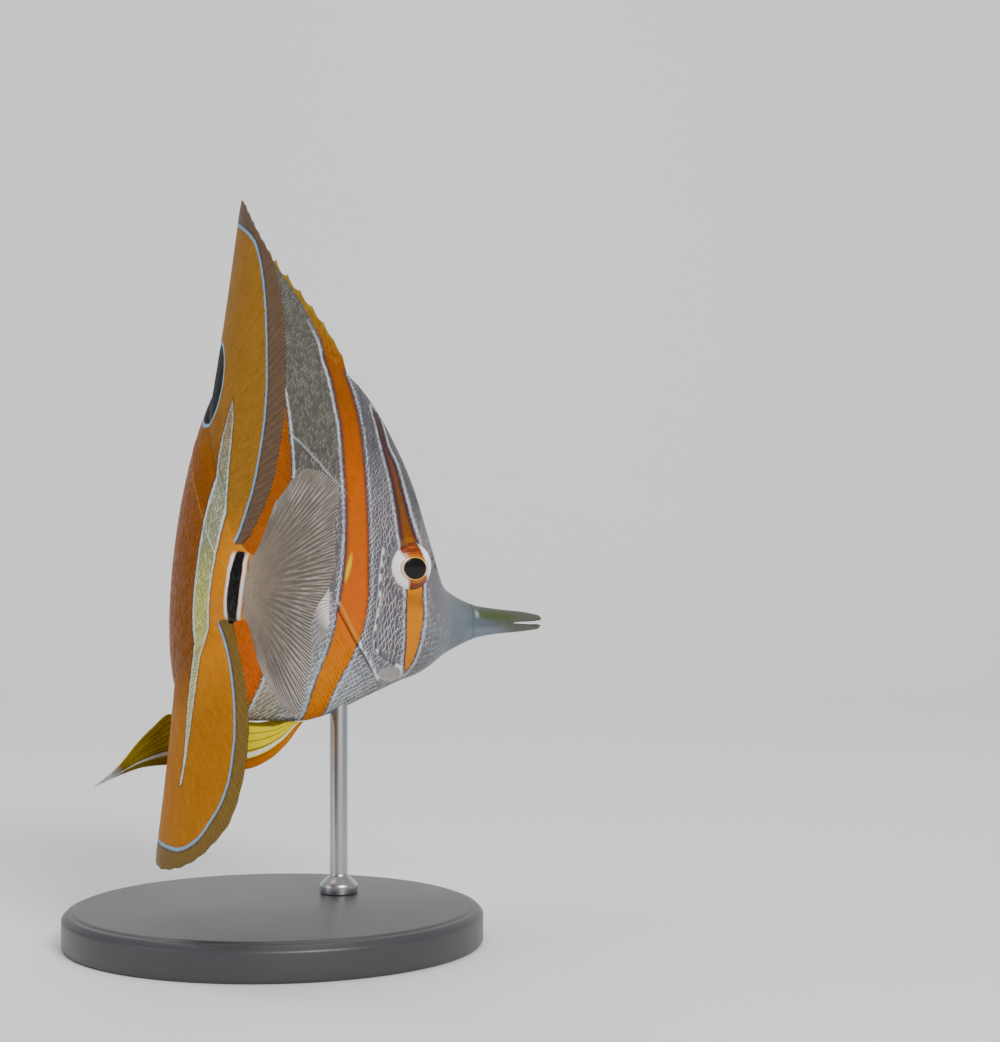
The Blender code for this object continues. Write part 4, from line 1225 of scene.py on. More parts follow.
def turned(name, profile, steps, at, paint, nodes):
    """A solid turned about +Z from its profile of radius and height, with its corners rounded."""
    bm = bmesh.new()
    line = [bm.verts.new((r * MM, 0, z * MM)) for r, z in profile]
    edges = [bm.edges.new(pair) for pair in zip(line, line[1:])]
    bmesh.ops.spin(bm, geom=line + edges, cent=(0, 0, 0), axis=(0, 0, 1), angle=2 * math.pi,
                   steps=steps, use_merge=True)
    bmesh.ops.remove_doubles(bm, verts=bm.verts[:], dist=1e-6)
    bmesh.ops.recalc_face_normals(bm, faces=bm.faces[:])
    corners = [e for e in bm.edges if len(e.link_faces) == 2 and e.calc_face_angle() > 0.5]
    bmesh.ops.bevel(bm, geom=corners, offset=0.35 * MM, segments=3, profile=0.5, affect="EDGES",
                    material=-1, clamp_overlap=True)
    bmesh.ops.translate(bm, verts=bm.verts[:], vec=Vector(at))
    mesh = mesh_of(bm, name)
    turn_outward(mesh)
    return place_piece(mesh, name, paint, nodes)


def build_stand(paints):
    """The turned base and the rod that carries the fish."""
    rim = BASE_RADIUS
    top = BASE_THICK
    profile = [(0, top), (rim - 2.6, top), (rim - 1.9, top - 0.5), (rim - 1.2, top - 0.5),
               (rim, top - 1.7), (rim, 0.6), (rim - 0.6, 0.0), (0, 0)]
    turned("display_base", profile, 160, (0, 0, 0), paints["base"], ("stand_base",))
    foot = pose([(ROD_X, float(belly(ROD_X)), 0.0)])[0] / MM
    end = foot[2] + ROD_BITE
    collar = BASE_THICK + COLLAR_HEIGHT
    profile = [(0, end), (ROD_RADIUS, end), (ROD_RADIUS, collar + 1.5),
               (COLLAR_RADIUS - 0.8, collar + 0.3), (COLLAR_RADIUS, collar - 0.5),
               (COLLAR_RADIUS, BASE_THICK), (0, BASE_THICK)]
    turned("display_rod", profile, 64, (foot[0] * MM, foot[1] * MM, 0), paints["rod"],
           ("stand_rod",))


# Paints

class Wire:
    """A number that varies over a surface, so that shader maths reads as plain arithmetic."""

    def __init__(self, paint, socket):
        self.paint = paint
        self.socket = socket

    def __add__(self, other):
        return self.paint.math("ADD", self, other)

    def __sub__(self, other):
        return self.paint.math("SUBTRACT", self, other)

    def __rsub__(self, other):
        return self.paint.math("SUBTRACT", other, self)

    def __mul__(self, other):
        return self.paint.math("MULTIPLY", self, other)

    def __truediv__(self, other):
        return self.paint.math("DIVIDE", self, other)

    def __abs__(self):
        return self.paint.math("ABSOLUTE", self)

    def __pow__(self, other):
        return self.paint.math("POWER", self, other)

    __radd__ = __add__
    __rmul__ = __mul__

    def least(self, other):
        """The smaller of two numbers."""
        return self.paint.math("MINIMUM", self, other)

    def most(self, other):
        """The larger of two numbers."""
        return self.paint.math("MAXIMUM", self, other)

    def over(self, edge, soft):
        """0 below the edge and 1 above it, with a soft step."""
        return self.paint.math("MULTIPLY_ADD", self, 1.0 / soft, 0.5 - edge / soft, clamp=True)

    def ridge(self, centre, half):
        """1 at the centre, falling to 0 at half a width to each side."""
        return self.paint.math("MULTIPLY_ADD", abs(self - centre), -1.0 / half, 1.0, clamp=True)


class Paint:
    """A node material whose nodes are added by type and whose numbers by arithmetic."""

    def __init__(self, name, **constants):
        self.material = bpy.data.materials.new(name)
        self.material.use_nodes = True
        self.tree = self.material.node_tree
        self.shader = self.tree.nodes["Principled BSDF"]
        for socket, value in constants.items():
            self.shader.inputs[socket.replace("_", " ")].default_value = value

    def join(self, socket, value):
        """Links a wire or a socket, or sets a constant."""
        if isinstance(value, Wire):
            value = value.socket
        if isinstance(value, bpy.types.NodeSocket):
            self.tree.links.new(value, socket)
        elif socket.type == "RGBA" and len(value) == 3:
            socket.default_value = (*value, 1.0)
        else:
            socket.default_value = value

    def node(self, kind, settings, sockets):
        """A node of a type, with its settings made first and then its sockets."""
        made = self.tree.nodes.new(kind)
        for name, value in settings.items():
            setattr(made, name, value)
        for name, value in sockets.items():
            self.join(made.inputs[name], value)
        return made

    def math(self, operation, *values, clamp=False):
        """A Math node, whose result stays between 0 and 1 if clamp is set."""
        settings = {"operation": operation, "use_clamp": clamp}
        made = self.node("ShaderNodeMath", settings, dict(enumerate(values)))
        return Wire(self, made.outputs[0])

    def split(self, name):
        """The three numbers stored on the mesh under a name."""
        read = self.node("ShaderNodeAttribute", {"attribute_name": name}, {})
        parts = self.node("ShaderNodeSeparateXYZ", {}, {0: read.outputs["Vector"]})
        return [Wire(self, parts.outputs[i]) for i in range(3)]

    def stored(self, name):
        """The vector stored on the mesh under a name."""
        return self.node("ShaderNodeAttribute", {"attribute_name": name}, {}).outputs["Vector"]

    def object_place(self):
        """Places in the piece's own coordinates."""
        return self.node("ShaderNodeTexCoord", {}, {}).outputs["Object"]

    def point(self, x, y, z):
        """A vector from three numbers."""
        return self.node("ShaderNodeCombineXYZ", {}, {0: x, 1: y, 2: z}).outputs[0]

    def noise(self, place, scale, detail=2.0, rough=0.5):
        """Soft noise from 0 to 1."""
        sockets = {"Vector": place, "Scale": scale, "Detail": detail, "Roughness": rough}
        return Wire(self, self.node("ShaderNodeTexNoise", {}, sockets).outputs["Fac"])

    def fibres(self, number, share, across, lengthwise):
        """Soft noise from 0 to 1, drawn out along the rays."""
        return self.noise(self.point(number * across, share * lengthwise, 0.0), 1.0, 3.0, 0.7)

    def cells(self, place, scale):
        """Distance to the edges of the cells of a net."""
        settings = {"feature": "DISTANCE_TO_EDGE"}
        made = self.node("ShaderNodeTexVoronoi", settings, {"Vector": place, "Scale": scale})
        return Wire(self, made.outputs["Distance"])

    def mix(self, share, first, second):
        """One colour turned into another by a share."""
        made = self.node("ShaderNodeMix", {"data_type": "RGBA"}, {0: share, 6: first, 7: second})
        return made.outputs[2]

    def number_mix(self, share, first, second):
        """One number turned into another by a share."""
        return first + (second - first) * share

    def tint(self, colour, value):
        """A colour made lighter or darker by a number."""
        grey = self.point(value, value, value)
        made = self.node("ShaderNodeVectorMath", {"operation": "MULTIPLY"}, {0: colour, 1: grey})
        return made.outputs[0]

    def bump(self, height, strength, distance):
        """A bump from a height."""
        sockets = {"Strength": strength, "Distance": distance, "Height": height}
        return self.node("ShaderNodeBump", {}, sockets).outputs[0]

    def finish(self, **links):
        """Links results to the main shader's sockets."""
        for name, value in links.items():
            self.join(self.shader.inputs[name.replace("_", " ")], value)
        return self.material


def oval_paint(place, x, h):
    """How far out a place lies in an oval on the chart, squared."""
    return ((x - place[0]) / place[2]) ** 2.0 + ((h - place[1]) / place[3]) ** 2.0


def crest_shade(x, h):
    """Mask of the painted shade on the crest in front of the eye band."""
    return (1 - (x - h * 0.39).over(33.2, 0.8)) * h.over(19.0, 7.0)


def base_tone(p, colours, x, h, grain):
    """The pale tones between the bands, from the snout to the flank."""
    behind = x.over(61.0, 5.0)
    low = (0 - h).over(9.0, 16.0)
    crown = h.over(x * 0.42 - 7.2, 3.4) * (1 - x.over(33.0, 6.0))
    under = (0 - h - x * 0.13).over(0.6, 1.2)
    jaws = p.mix(under, colours.jaw, colours.lower_jaw)
    jaws = p.mix(x.over(21.0, 5.0), jaws, colours.snout)
    head = p.mix(x.over(31.0, 12.0), p.mix(crown * 0.85, jaws, colours.crown), colours.silver)
    # The top of the head and the crest in front of the eye band darken towards the nape colour: painted
    # shade
    head = p.mix((h.over(29.0, 12.0) * 0.85).most(crest_shade(x, h) * 0.8), head, colours.nape)
    tone = p.mix(behind * (1 - low), head, colours.flank)
    tone = p.mix(low * x.over(45.0, 12.0), tone, p.mix(x.over(65.0, 5.0), colours.belly, colours.vent))
    tone = p.mix(1 - oval_paint(BREAST_PAD, x, h).over(1.1, 0.9), tone, colours.breast_pad)
    flap = 1 - oval_paint(LOWER_FLAP, x, h).over(1.2, 0.6)
    tone = p.mix(flap * 0.7, tone, p.mix(0.35, colours.breast_pad, colours.vent))
    tone = p.mix((1 - oval_paint(FLAP_SPOT, x, h).over(0.7, 0.9)) * 0.25, tone, colours.yellow)
    return p.tint(tone, 0.8 + 0.4 * grain)


def band_lines(d, beads):
    """Masks of a band, its dark edge and the pale line beyond it, from the depth inside the band."""
    return d.over(0.0, 0.16), d.ridge(-0.12, 0.36), d.ridge(-0.82, 0.5) * beads


def band_colours(p, colours, x, h, rear_band, grain):
    """Orange of the three wide bands and of the long fins, with painted shade at the top of the second band
    and the rear of the third.
    """
    front = p.mix(h.over(12.0, 8.0), colours.gold, colours.copper)
    front = p.mix(h.over(17.0, 10.0) * 0.85, front, colours.brown)
    front = p.mix(h.ridge(1.4, 2.6) * 0.5, front, colours.brown)
    # The second band darkens to copper towards its top: painted shade
    middle = p.mix(h.over(8.0, 30.0) * 0.35, colours.orange, colours.copper)
    middle = p.mix(h.over(35.0, 18.0) * 0.95, middle, colours.copper)
    middle = p.mix((0 - h).over(9.0, 14.0) * 0.8, middle, colours.gold)
    middle = p.mix(h.over(59.0, 14.0) * 0.72, middle, colours.olive)
    rear = p.mix(h.over(4.0, 24.0) * 0.6 + 0.25, colours.orange, colours.copper)
    # The third band darkens towards the rear, where the body turns from the light: painted shade
    rear = p.mix(x.over(88.0, 18.0), rear, colours.copper)
    rear = p.mix(x.over(104.0, 14.0) * (1 - x.over(116.0, 3.0)), rear, colours.rear_shade)
    rear = p.mix(x.over(117.5, 2.0), rear, p.mix(h.over(9.0, 16.0), colours.gold, colours.dorsal_gold))
    rise = h - 70.0 + x * 0.36
    rear = p.mix(rise.over(0.0, 16.0), rear, colours.dorsal_gold)
    drop = 0 - h - 52.0 + x * 0.26
    rear = p.mix(drop.over(0.0, 12.0), rear, colours.anal_gold)
    tone = p.mix((x - h.most(5.0) * 0.2).over(45.0, 2.0), front, middle)
    tone = p.mix(rear_band.over(0.0, 0.5), tone, rear)
    return p.tint(tone, 0.78 + 0.44 * grain)


def fish_colour(p, colours, with_margin):
    """Colour of the whole pattern on the chart with its painted shade and highlights, and the masks of the
    orange and the black parts.
    """
    place = p.stored("chart")
    x, h, _w = p.split("chart")
    eye_band, gill_band, rear_band = p.split("marks_a")
    pale_field, tail_bar, spot = p.split("marks_b")
    margin, streak, fold = p.split("marks_c")
    grain = p.noise(place, 0.55, 4.0, 0.65)
    fine = p.noise(place, 3.4, 2.0)
    wobble = (p.noise(place, 1.3, 2.0) - 0.5) * 0.6

    tone = base_tone(p, colours, x, h, grain)
    tone = p.mix((streak + wobble).over(0.0, 1.2) * 0.75, tone, colours.streak)
    leaning = x - h * SEAM_LEAN
    # Painted shade in the crease at the root of the jaws, and a painted highlight as a pale spot on the
    # raised rim ahead of it
    tone = p.mix(leaning.ridge(JAW_SEAM, 0.5) * h.over(-3.5, 3.0) * 0.6, tone, colours.crown)
    tone = p.mix(leaning.ridge(19.2, 0.8) * h.ridge(0.2, 1.0) * 0.5, tone, colours.pale_line)
    tone = p.mix(fold.ridge(0.1, 0.42) * 0.75, tone, colours.pale_line)

    beads = 0.4 + 0.6 * fine.over(0.42, 0.25)
    quiet = 1 - h.over(57.0, 5.0) * 0.95
    masks = [band_lines(d + wobble, beads * quiet) for d in (eye_band, gill_band, rear_band)]
    bands, dark, pale = [first.most(second).most(third) for first, second, third in zip(*masks)]
    tone = p.mix(pale, tone, colours.pale_line)
    tone = p.mix(dark * 0.85 * quiet, tone, colours.dark_line)
    orange = band_colours(p, colours, x, h, rear_band, grain)
    tone = p.mix(bands, tone, orange)
    tone = p.mix(dark.least(bands) * 0.6 * quiet, tone, colours.dark_line)
    sides = (1 - eye_band.over(0.85, 0.9)) * eye_band.over(0.0, 0.2) * h.over(14.0, 2.0)
    tone = p.mix(sides * 0.8, tone, colours.dark_line)
    sides = (1 - gill_band.over(0.45, 0.8)) * gill_band.over(0.0, 0.2) * h.over(0.0, 8.0) * quiet
    tone = p.mix(sides * 0.65, tone, colours.dark_line)
    # Painted highlight: the yellow glint on the second band beside the gill cover
    gleam = 1 - oval_paint(GLEAM, x + (h - GLEAM[1]) * GLEAM_LEAN, h).over(0.7, 0.9)
    tone = p.mix(gleam * bands * (0.6 + 0.35 * fine.over(0.5, 0.4)), tone, colours.yellow)
    # Painted highlight: a gold line along the gill cover's edge where it crosses the bands
    tone = p.mix(fold.ridge(0.1, 0.3) * bands * 0.9, tone, colours.gold_light)

    field = pale_field + wobble * 0.6
    low = (0 - h).over(-3.0, 14.0)
    inner = p.mix(low, colours.field, colours.field_low)
    inner = p.mix(fine.over(0.56, 0.16) * (0.2 + 0.5 * low), inner, colours.field_speck)
    inner = p.mix((1 - fine.over(0.42, 0.12)) * 0.45 * low, inner, colours.olive)
    tone = p.mix(field.ridge(-0.2, 0.4) * 0.7, tone, colours.dark_line)
    soft_end = 1 - h.over(27.0, 14.0) * 0.6
    tone = p.mix(field.over(0.0, 0.2) * soft_end, tone, inner)
    tone = p.mix(field.ridge(0.32, 0.42) * beads * soft_end, tone, colours.white_line)
    bands = bands * (1 - field.over(0.0, 0.2))

    if with_margin:
        edge = margin + wobble * 0.5
        dusky = p.mix((0 - h).over(0.0, 10.0), colours.dorsal_margin, colours.anal_margin)
        tone = p.mix(edge.over(0.0, 0.3), tone, p.tint(dusky, 0.75 + 0.5 * grain))
        tone = p.mix(edge.ridge(0.55, 0.4) * 0.75, tone, colours.dark_line)
        tone = p.mix(edge.ridge(-0.5, 0.35) * 0.5, tone, colours.brown)
        tone = p.mix(edge.ridge(0.0, 0.5) * (0.5 + 0.5 * beads), tone, colours.blue_line)

    bar = tail_bar + wobble * 0.3
    stalk = x.over(132.3, 0.8) * (1 - abs(h).over(6.8, 1.0))
    tone = p.mix(stalk, tone, colours.tail_root)
    tone = p.mix(bar.ridge(-0.55, 0.62) * (1 - abs(h).over(6.3, 1.2)), tone, colours.white_line)
    ring = spot + wobble * 0.3
    tone = p.mix(ring.ridge(-0.35, 0.5), tone, colours.blue_line)
    black = bar.over(0.0, 0.25).most(ring.over(0.0, 0.25))
    tone = p.mix(black, tone, colours.black)
    return tone, bands, black, grain, fine, place


def skin_paint(colours):
    """Satin skin under the scales, with painted shade inside the mouth, the nostrils and the gill slit."""
    p = Paint("fish_skin", Roughness=0.38, Specular_IOR_Level=0.16)
    tone, bands, _black, grain, fine, place = fish_colour(p, colours, False)
    x, h, _w = p.split("chart")
    mouth, nostril, slit = p.split("inner")
    covered = x.over(31.0, 6.0)
    _margin, _streak, fold = p.split("marks_c")
    shown = 1 - oval_paint(LOWER_FLAP, x, h).over(1.0, 0.1)
    # Skin under the scales is darkened between them: painted shade
    tone = p.mix(covered * (1 - bands) * (1 - shown) * 0.45, tone, p.tint(tone, 0.55))
    tone = p.mix(fold.ridge(0.1, 0.36) * (1 - bands) * covered * 0.8, tone, colours.rim)
    # Painted shade inside the mouth and the nostrils
    tone = p.mix(mouth.most(nostril * 0.9), tone, colours.mouth)
    # Painted shade in the gill slit
    tone = p.mix(slit * 0.25, tone, colours.dark_line)
    pores = p.cells(place, 2.2)
    bare = 1 - covered
    face = bare * x.over(23.0, 8.0)
    net = p.cells(place, 1.15).ridge(0.0, 0.09) * (x + h * -0.35).over(31.0, 7.0) * face
    tone = p.mix(net * 0.3, tone, colours.rim)
    normal = p.bump(fine * 0.4 + grain * 0.5 + pores.ridge(0.0, 0.1) * face * 0.2, 0.18, 0.00018)
    return p.finish(Base_Color=tone, Normal=normal)


def scale_paint(colours):
    """Scales with bright rims between the bands and soft ones on them; the rims are the scales' light edges
    and partly painted glints.
    """
    p = Paint("fish_scales", Roughness=0.36, Specular_IOR_Level=0.04)
    tone, bands, black, _grain, fine, place = fish_colour(p, colours, False)
    rim, rear, chance = p.split("scale")
    x, h, _w = p.split("chart")
    on_flank = x.over(61.0, 8.0) * (1 - (0 - h).over(14.0, 6.0))
    breast = (0 - h).over(14.0, 8.0)
    # The scale rims dim on the nape and the crest: painted shade
    nape = h.over(25.0, 18.0).most(crest_shade(x, h)) * (1 - x.over(57.0, 3.0) * 0.2)
    on_face = 1 - (x + h * -0.3).over(37.5, 9.0)
    plain = 1 - bands
    tone = p.tint(tone, 1.0 + (chance - 0.5) * (0.08 + 0.3 * plain))
    on_head = 1 - x.over(57.0, 3.0)
    middle = 1 - rim.over(0.74 + 0.08 * on_head, 0.26)
    centre = middle * plain * (0.82 - 0.57 * on_flank) * (1 - on_face * 0.8)
    tone = p.mix(centre * (1 - black) * (1 - breast * 0.55), tone, colours.cell)
    number, share, _edge = p.split("fin")
    fibres = p.fibres(number, share, 9.0, 5.0)
    on_fin = share.over(0.02, 0.01) * (0.4 + 0.6 * bands)
    thread = p.mix(bands, colours.cell, colours.gold_light)
    tone = p.mix(fibres.over(0.56, 0.2) * on_fin * 0.22 * (1 - black), tone, thread)
    tone = p.mix((1 - fibres.over(0.44, 0.2)) * on_fin * 0.24, tone, p.tint(tone, 0.55))
    outer = rim.over(0.9, 0.12)
    crescent = outer * rear.over(-0.1, 0.7)
    narrow = outer * rear.over(0.62, 0.3)
    edge = p.number_mix(on_flank, crescent, narrow)
    # Rims show more strongly low on the head: painted highlight on the cheek
    lively = 0.5 + 0.2 * on_head * (1 - h.over(10.0, 10.0)) + 0.5 * chance.over(0.5, 0.7)
    lively = p.number_mix(on_flank, lively, 0.12 + 0.88 * chance.over(0.52, 0.5))
    tint = p.mix(p.noise(place, 0.16, 2.0).over(0.5, 0.3), colours.rim, colours.rim_warm)
    # Rim colour, lighter on the bands: the scales' light edges and partly painted glints
    rim_and_glint_tone = p.mix(bands, tint, p.tint(tone, 1.2))
    strength = edge * lively * (0.08 + 0.92 * plain) * (1 - black)
    strength = strength * (1 - nape * 0.72) * (1 - on_face * 0.6)
    tone = p.mix(strength, tone, rim_and_glint_tone)
    normal = p.bump(fine * 0.4 + fibres * on_fin * 0.7, 0.12, 0.0001)
    rough = 0.42 - 0.16 * strength
    return p.finish(Base_Color=tone, Roughness=rough, Normal=normal)


def ray_mask(p, number, share, forks, spread, half):
    """Mask of the rays, which part at each fork; spread is their distance at root and tip."""
    away = abs(number - p.math("ROUND", number))
    for step, (start, stop) in enumerate(forks):
        away = abs(away - share.over((start + stop) / 2, stop - start) * (0.25 / 2 ** step))
    return (away * (share * (spread[1] - spread[0]) + spread[0])).ridge(0.0, half)


def soft_fin_paint(colours):
    """The long fins: gold inside the blue line, dusky outside it, with fine rays."""
    p = Paint("fish_long_fins", Roughness=0.42, Specular_IOR_Level=0.04)
    tone, bands, black, grain, fine, _place = fish_colour(p, colours, True)
    number, share, edge = p.split("fin")
    x, h, _w = p.split("chart")
    ragged = edge + (grain - 0.5) * 2.0
    crest = (1 - ragged.over(1.5, 1.2)) * h.over(51.0, 4.0) * (1 - x.over(89.0, 2.0))
    tone = p.mix(crest * 0.9, tone, colours.olive)
    margin, _streak, _fold = p.split("marks_c")
    rays = ray_mask(p, number, share, SOFT_FORKS, (1.5, 2.9), 0.2)
    fibres = p.fibres(number, share, 9.0, 5.0)
    outer = margin.over(0.3, 0.6)
    golden = bands.most(outer)
    thread = p.mix(golden, colours.pale_line, colours.gold_light)
    tone = p.mix(fibres.over(0.56, 0.2) * (0.28 - 0.18 * outer) * (1 - black), tone, thread)
    tone = p.mix((1 - fibres.over(0.42, 0.2)) * (0.34 - 0.26 * outer), tone, p.tint(tone, 0.5))
    tone = p.mix(rays * (0.05 + 0.06 * outer) * (1 - black), tone, thread)
    height = rays * 0.3 + fibres * (0.3 - 0.2 * outer) + fine * 0.2
    alpha = 1 - outer * (1 - rays) * 0.1 * (1 - edge.over(1.5, 3.0))
    fringe = 1 - (1 - rays) * (1 - edge.over(0.25, 0.5)) * 0.6
    return p.finish(Base_Color=tone, Normal=p.bump(height, 0.25, 0.00015), Alpha=alpha * fringe)


def caudal_paint(colours):
    """The clear tail fin with its fine pale branching rays."""
    p = Paint("fish_tail_fin", Roughness=0.42, Specular_IOR_Level=0.12)
    number, share, edge = p.split("fin")
    _x, h, _w = p.split("chart")
    place = p.stored("chart")
    grain = p.noise(place, 0.4, 4.0, 0.65)
    forks = ((0.16, 0.42), (0.38, 0.66), (0.62, 0.95))
    rays = ray_mask(p, number, share, forks, (0.7, 3.9), 0.13)
    thick = ray_mask(p, number, share, forks, (0.7, 3.9), 0.32)
    fibres = p.fibres(number, share, 7.0, 6.0)
    tone = p.mix(share.over(0.28, 0.5), colours.tail_root, colours.tail_web)
    tone = p.tint(tone, 0.7 + 0.6 * grain)
    tone = p.mix(thick * 0.25 * share.over(0.42, 0.5), tone, colours.tail_root)
    patches = p.noise(place, 0.22, 2.0)
    clear = share.over(0.54, 0.55) * (0.3 + 0.7 * fibres.over(0.5, 0.3))
    clear = clear * (0.45 + 0.55 * patches.over(0.5, 0.2))
    low = (0 - h).over(4.0, 16.0) * share.over(0.7, 0.4)
    tone = p.mix((rays * clear).most(rays * low * 0.9), tone, colours.tail_ray)
    tone = p.mix(fibres.over(0.58, 0.1) * share.over(0.5, 0.5) * 0.2, tone, colours.tail_ray)
    alpha = 1 - share.over(0.6, 0.9) * (1 - thick) * 0.22
    alpha = alpha * (1 - (1 - thick) * (1 - edge.over(0.2, 0.5)) * 0.5)
    height = rays * 0.6 + thick * 0.2 + fibres * 0.3
    return p.finish(Base_Color=tone, Normal=p.bump(height, 0.3, 0.00015), Alpha=alpha)


def pectoral_paint(colours):
    """The clear breast fins with a white root."""
    p = Paint("fish_breast_fins", Roughness=0.3, Specular_IOR_Level=0.3)
    number, share, _edge = p.split("fin")
    rays = ray_mask(p, number, share, PECTORAL_FORKS, (0.55, 2.55), 0.2)
    root = 1 - share.over(0.16, 0.2)
    tone = p.mix(rays, colours.web, colours.tail_ray)
    tone = p.mix(root, tone, p.mix(rays, colours.rim_warm, colours.silver))
    alpha = 0.16 + 0.5 * rays + 0.8 * root
    return p.finish(Base_Color=tone, Normal=p.bump(rays, 0.4, 0.00015),
                    Alpha=p.math("ADD", alpha, 0.0, clamp=True))


def pelvic_paint(colours):
    """The belly fins: a copper spine, a pale blue stripe and yellow behind it."""
    p = Paint("fish_belly_fins", Roughness=0.45, Specular_IOR_Level=0.06)
    number, share, _edge = p.split("fin")
    place = p.stored("chart")
    grain = p.noise(place, 1.2, 2.0)
    rays = ray_mask(p, number, share, PELVIC_FORKS, (1.6, 2.0), 0.24)
    fibres = p.fibres(number, share, 8.0, 6.0)
    tone = p.mix(share.over(0.42, 0.4) * 0.85, colours.yellow, colours.yellow_dark)
    tone = p.mix(fibres.over(0.52, 0.2) * 0.4 * share.over(0.3, 0.3), tone, colours.yellow)
    tone = p.mix(rays * 0.55, tone, colours.yellow_dark)
    tone = p.mix(number.ridge(1.45, 0.36), tone, colours.pale_line)
    tone = p.mix(number.ridge(1.86, 0.16) * 0.7, tone, colours.dark_line)
    spine = 1 - number.over(1.08, 0.2)
    copper = p.mix(share.over(0.2, 0.5) * 0.6 + 0.35, colours.gold, colours.copper)
    tone = p.mix(spine, tone, p.mix(share.over(0.55, 0.15), copper, colours.olive))
    tone = p.mix(share.over(0.88, 0.08), tone, colours.pale_line)
    tone = p.tint(tone, 0.8 + 0.4 * grain)
    return p.finish(Base_Color=tone, Normal=p.bump(rays + fibres * 0.4, 0.5, 0.00018))


def eye_paint(colours):
    """The eye: dark pupil, thin gold ring, copper above and below, white to each side."""
    p = Paint("fish_eye", Roughness=0.25, Specular_IOR_Level=0.12, Coat_Weight=0.2, Coat_Roughness=0.09)
    ex, eh, away = p.split("eye")
    place = p.stored("eye")
    grain = p.noise(place, 1.6, 3.0, 0.6)
    around = p.math("SQRT", ex * ex + eh * eh)
    white = p.tint(colours.eye_white, 0.93 + 0.12 * grain)
    white = p.mix(around.over(5.1, 0.4) * 0.5, white, colours.silver)
    streaks = p.noise(p.point(ex * 0.35, eh * 0.3, away * 1.9), 1.7, 2.0)
    copper = p.mix(streaks.over(0.5, 0.2), colours.eye_dark, colours.eye_copper)
    copper = p.mix(away.ridge(2.95, 0.45) * 0.8, copper, colours.gold)
    copper = p.mix(around.over(4.6, 0.5) * 0.85, copper, colours.eye_dark)
    copper = p.mix(around.ridge(4.0, 0.28) * 0.7, copper, colours.eye_dark)
    lean = ex - eh * 0.42 + 0.53
    sector = (2.55 - abs(lean)).over(0.0, 0.3) * abs(eh).over(1.4, 0.5)
    copper = p.mix(abs(lean).over(2.0, 1.0) * eh.over(2.6, 0.8) * 0.8, copper, colours.eye_dark)
    edge = abs(lean).ridge(2.75, 0.3) * abs(eh).over(1.6, 0.5)
    tone = p.mix(edge * 0.6, white, colours.eye_dark)
    tone = p.mix(sector, tone, copper)
    tone = p.mix(away.ridge(PUPIL_RADIUS + 0.42, 0.2) * 0.8, tone, colours.eye_dark)
    tone = p.mix(away.ridge(PUPIL_RADIUS + 0.14, 0.22), tone, colours.eye_ring)
    tone = p.mix(1 - away.over(PUPIL_RADIUS, 0.12), tone, colours.black)
    return p.finish(Base_Color=tone)


def base_paint():
    """Dark satin coating with a fine grain."""
    p = Paint("satin_base", Roughness=0.42, Coat_Weight=0.15, Coat_Roughness=0.3)
    place = p.object_place()
    grain = p.noise(place, 2600.0, 2.0)
    cloud = p.noise(place, 45.0, 3.0)
    tone = p.mix(cloud, (0.028, 0.029, 0.032), (0.040, 0.041, 0.045))
    rough = 0.36 + 0.14 * cloud + 0.05 * grain
    return p.finish(Base_Color=tone, Roughness=rough, Normal=p.bump(grain, 0.12, 0.0001))


def rod_paint():
    """Brushed steel with fine turned lines."""
    p = Paint("brushed_rod", Metallic=1.0)
    parts = p.node("ShaderNodeSeparateXYZ", {}, {0: p.object_place()})
    lines = p.noise(p.point(0.0, 0.0, Wire(p, parts.outputs[2]) * 9000.0), 1.0, 2.0)
    tone = p.mix(lines, (0.48, 0.48, 0.49), (0.60, 0.60, 0.61))
    return p.finish(Base_Color=tone, Roughness=0.22 + 0.16 * lines, Normal=p.bump(lines, 0.08, 0.00005))


# Settings

def colour_setting(name, description, default):
    """A colour that a user may change."""
    return FloatVectorProperty(name=name, description=description, default=default, size=3,
                               min=0.0, max=1.0, subtype="COLOR")


class CopperbandSizes(PropertyGroup):
    """Sizes of the coat."""

    coat_depth: FloatProperty(name="Coat depth", description="How deep the skin lies under the scales",
                              default=0.00022, unit="LENGTH")
    scale_pitch: FloatProperty(name="Scale pitch", description="Distance between scales along a row",
                               default=0.0015, unit="LENGTH")


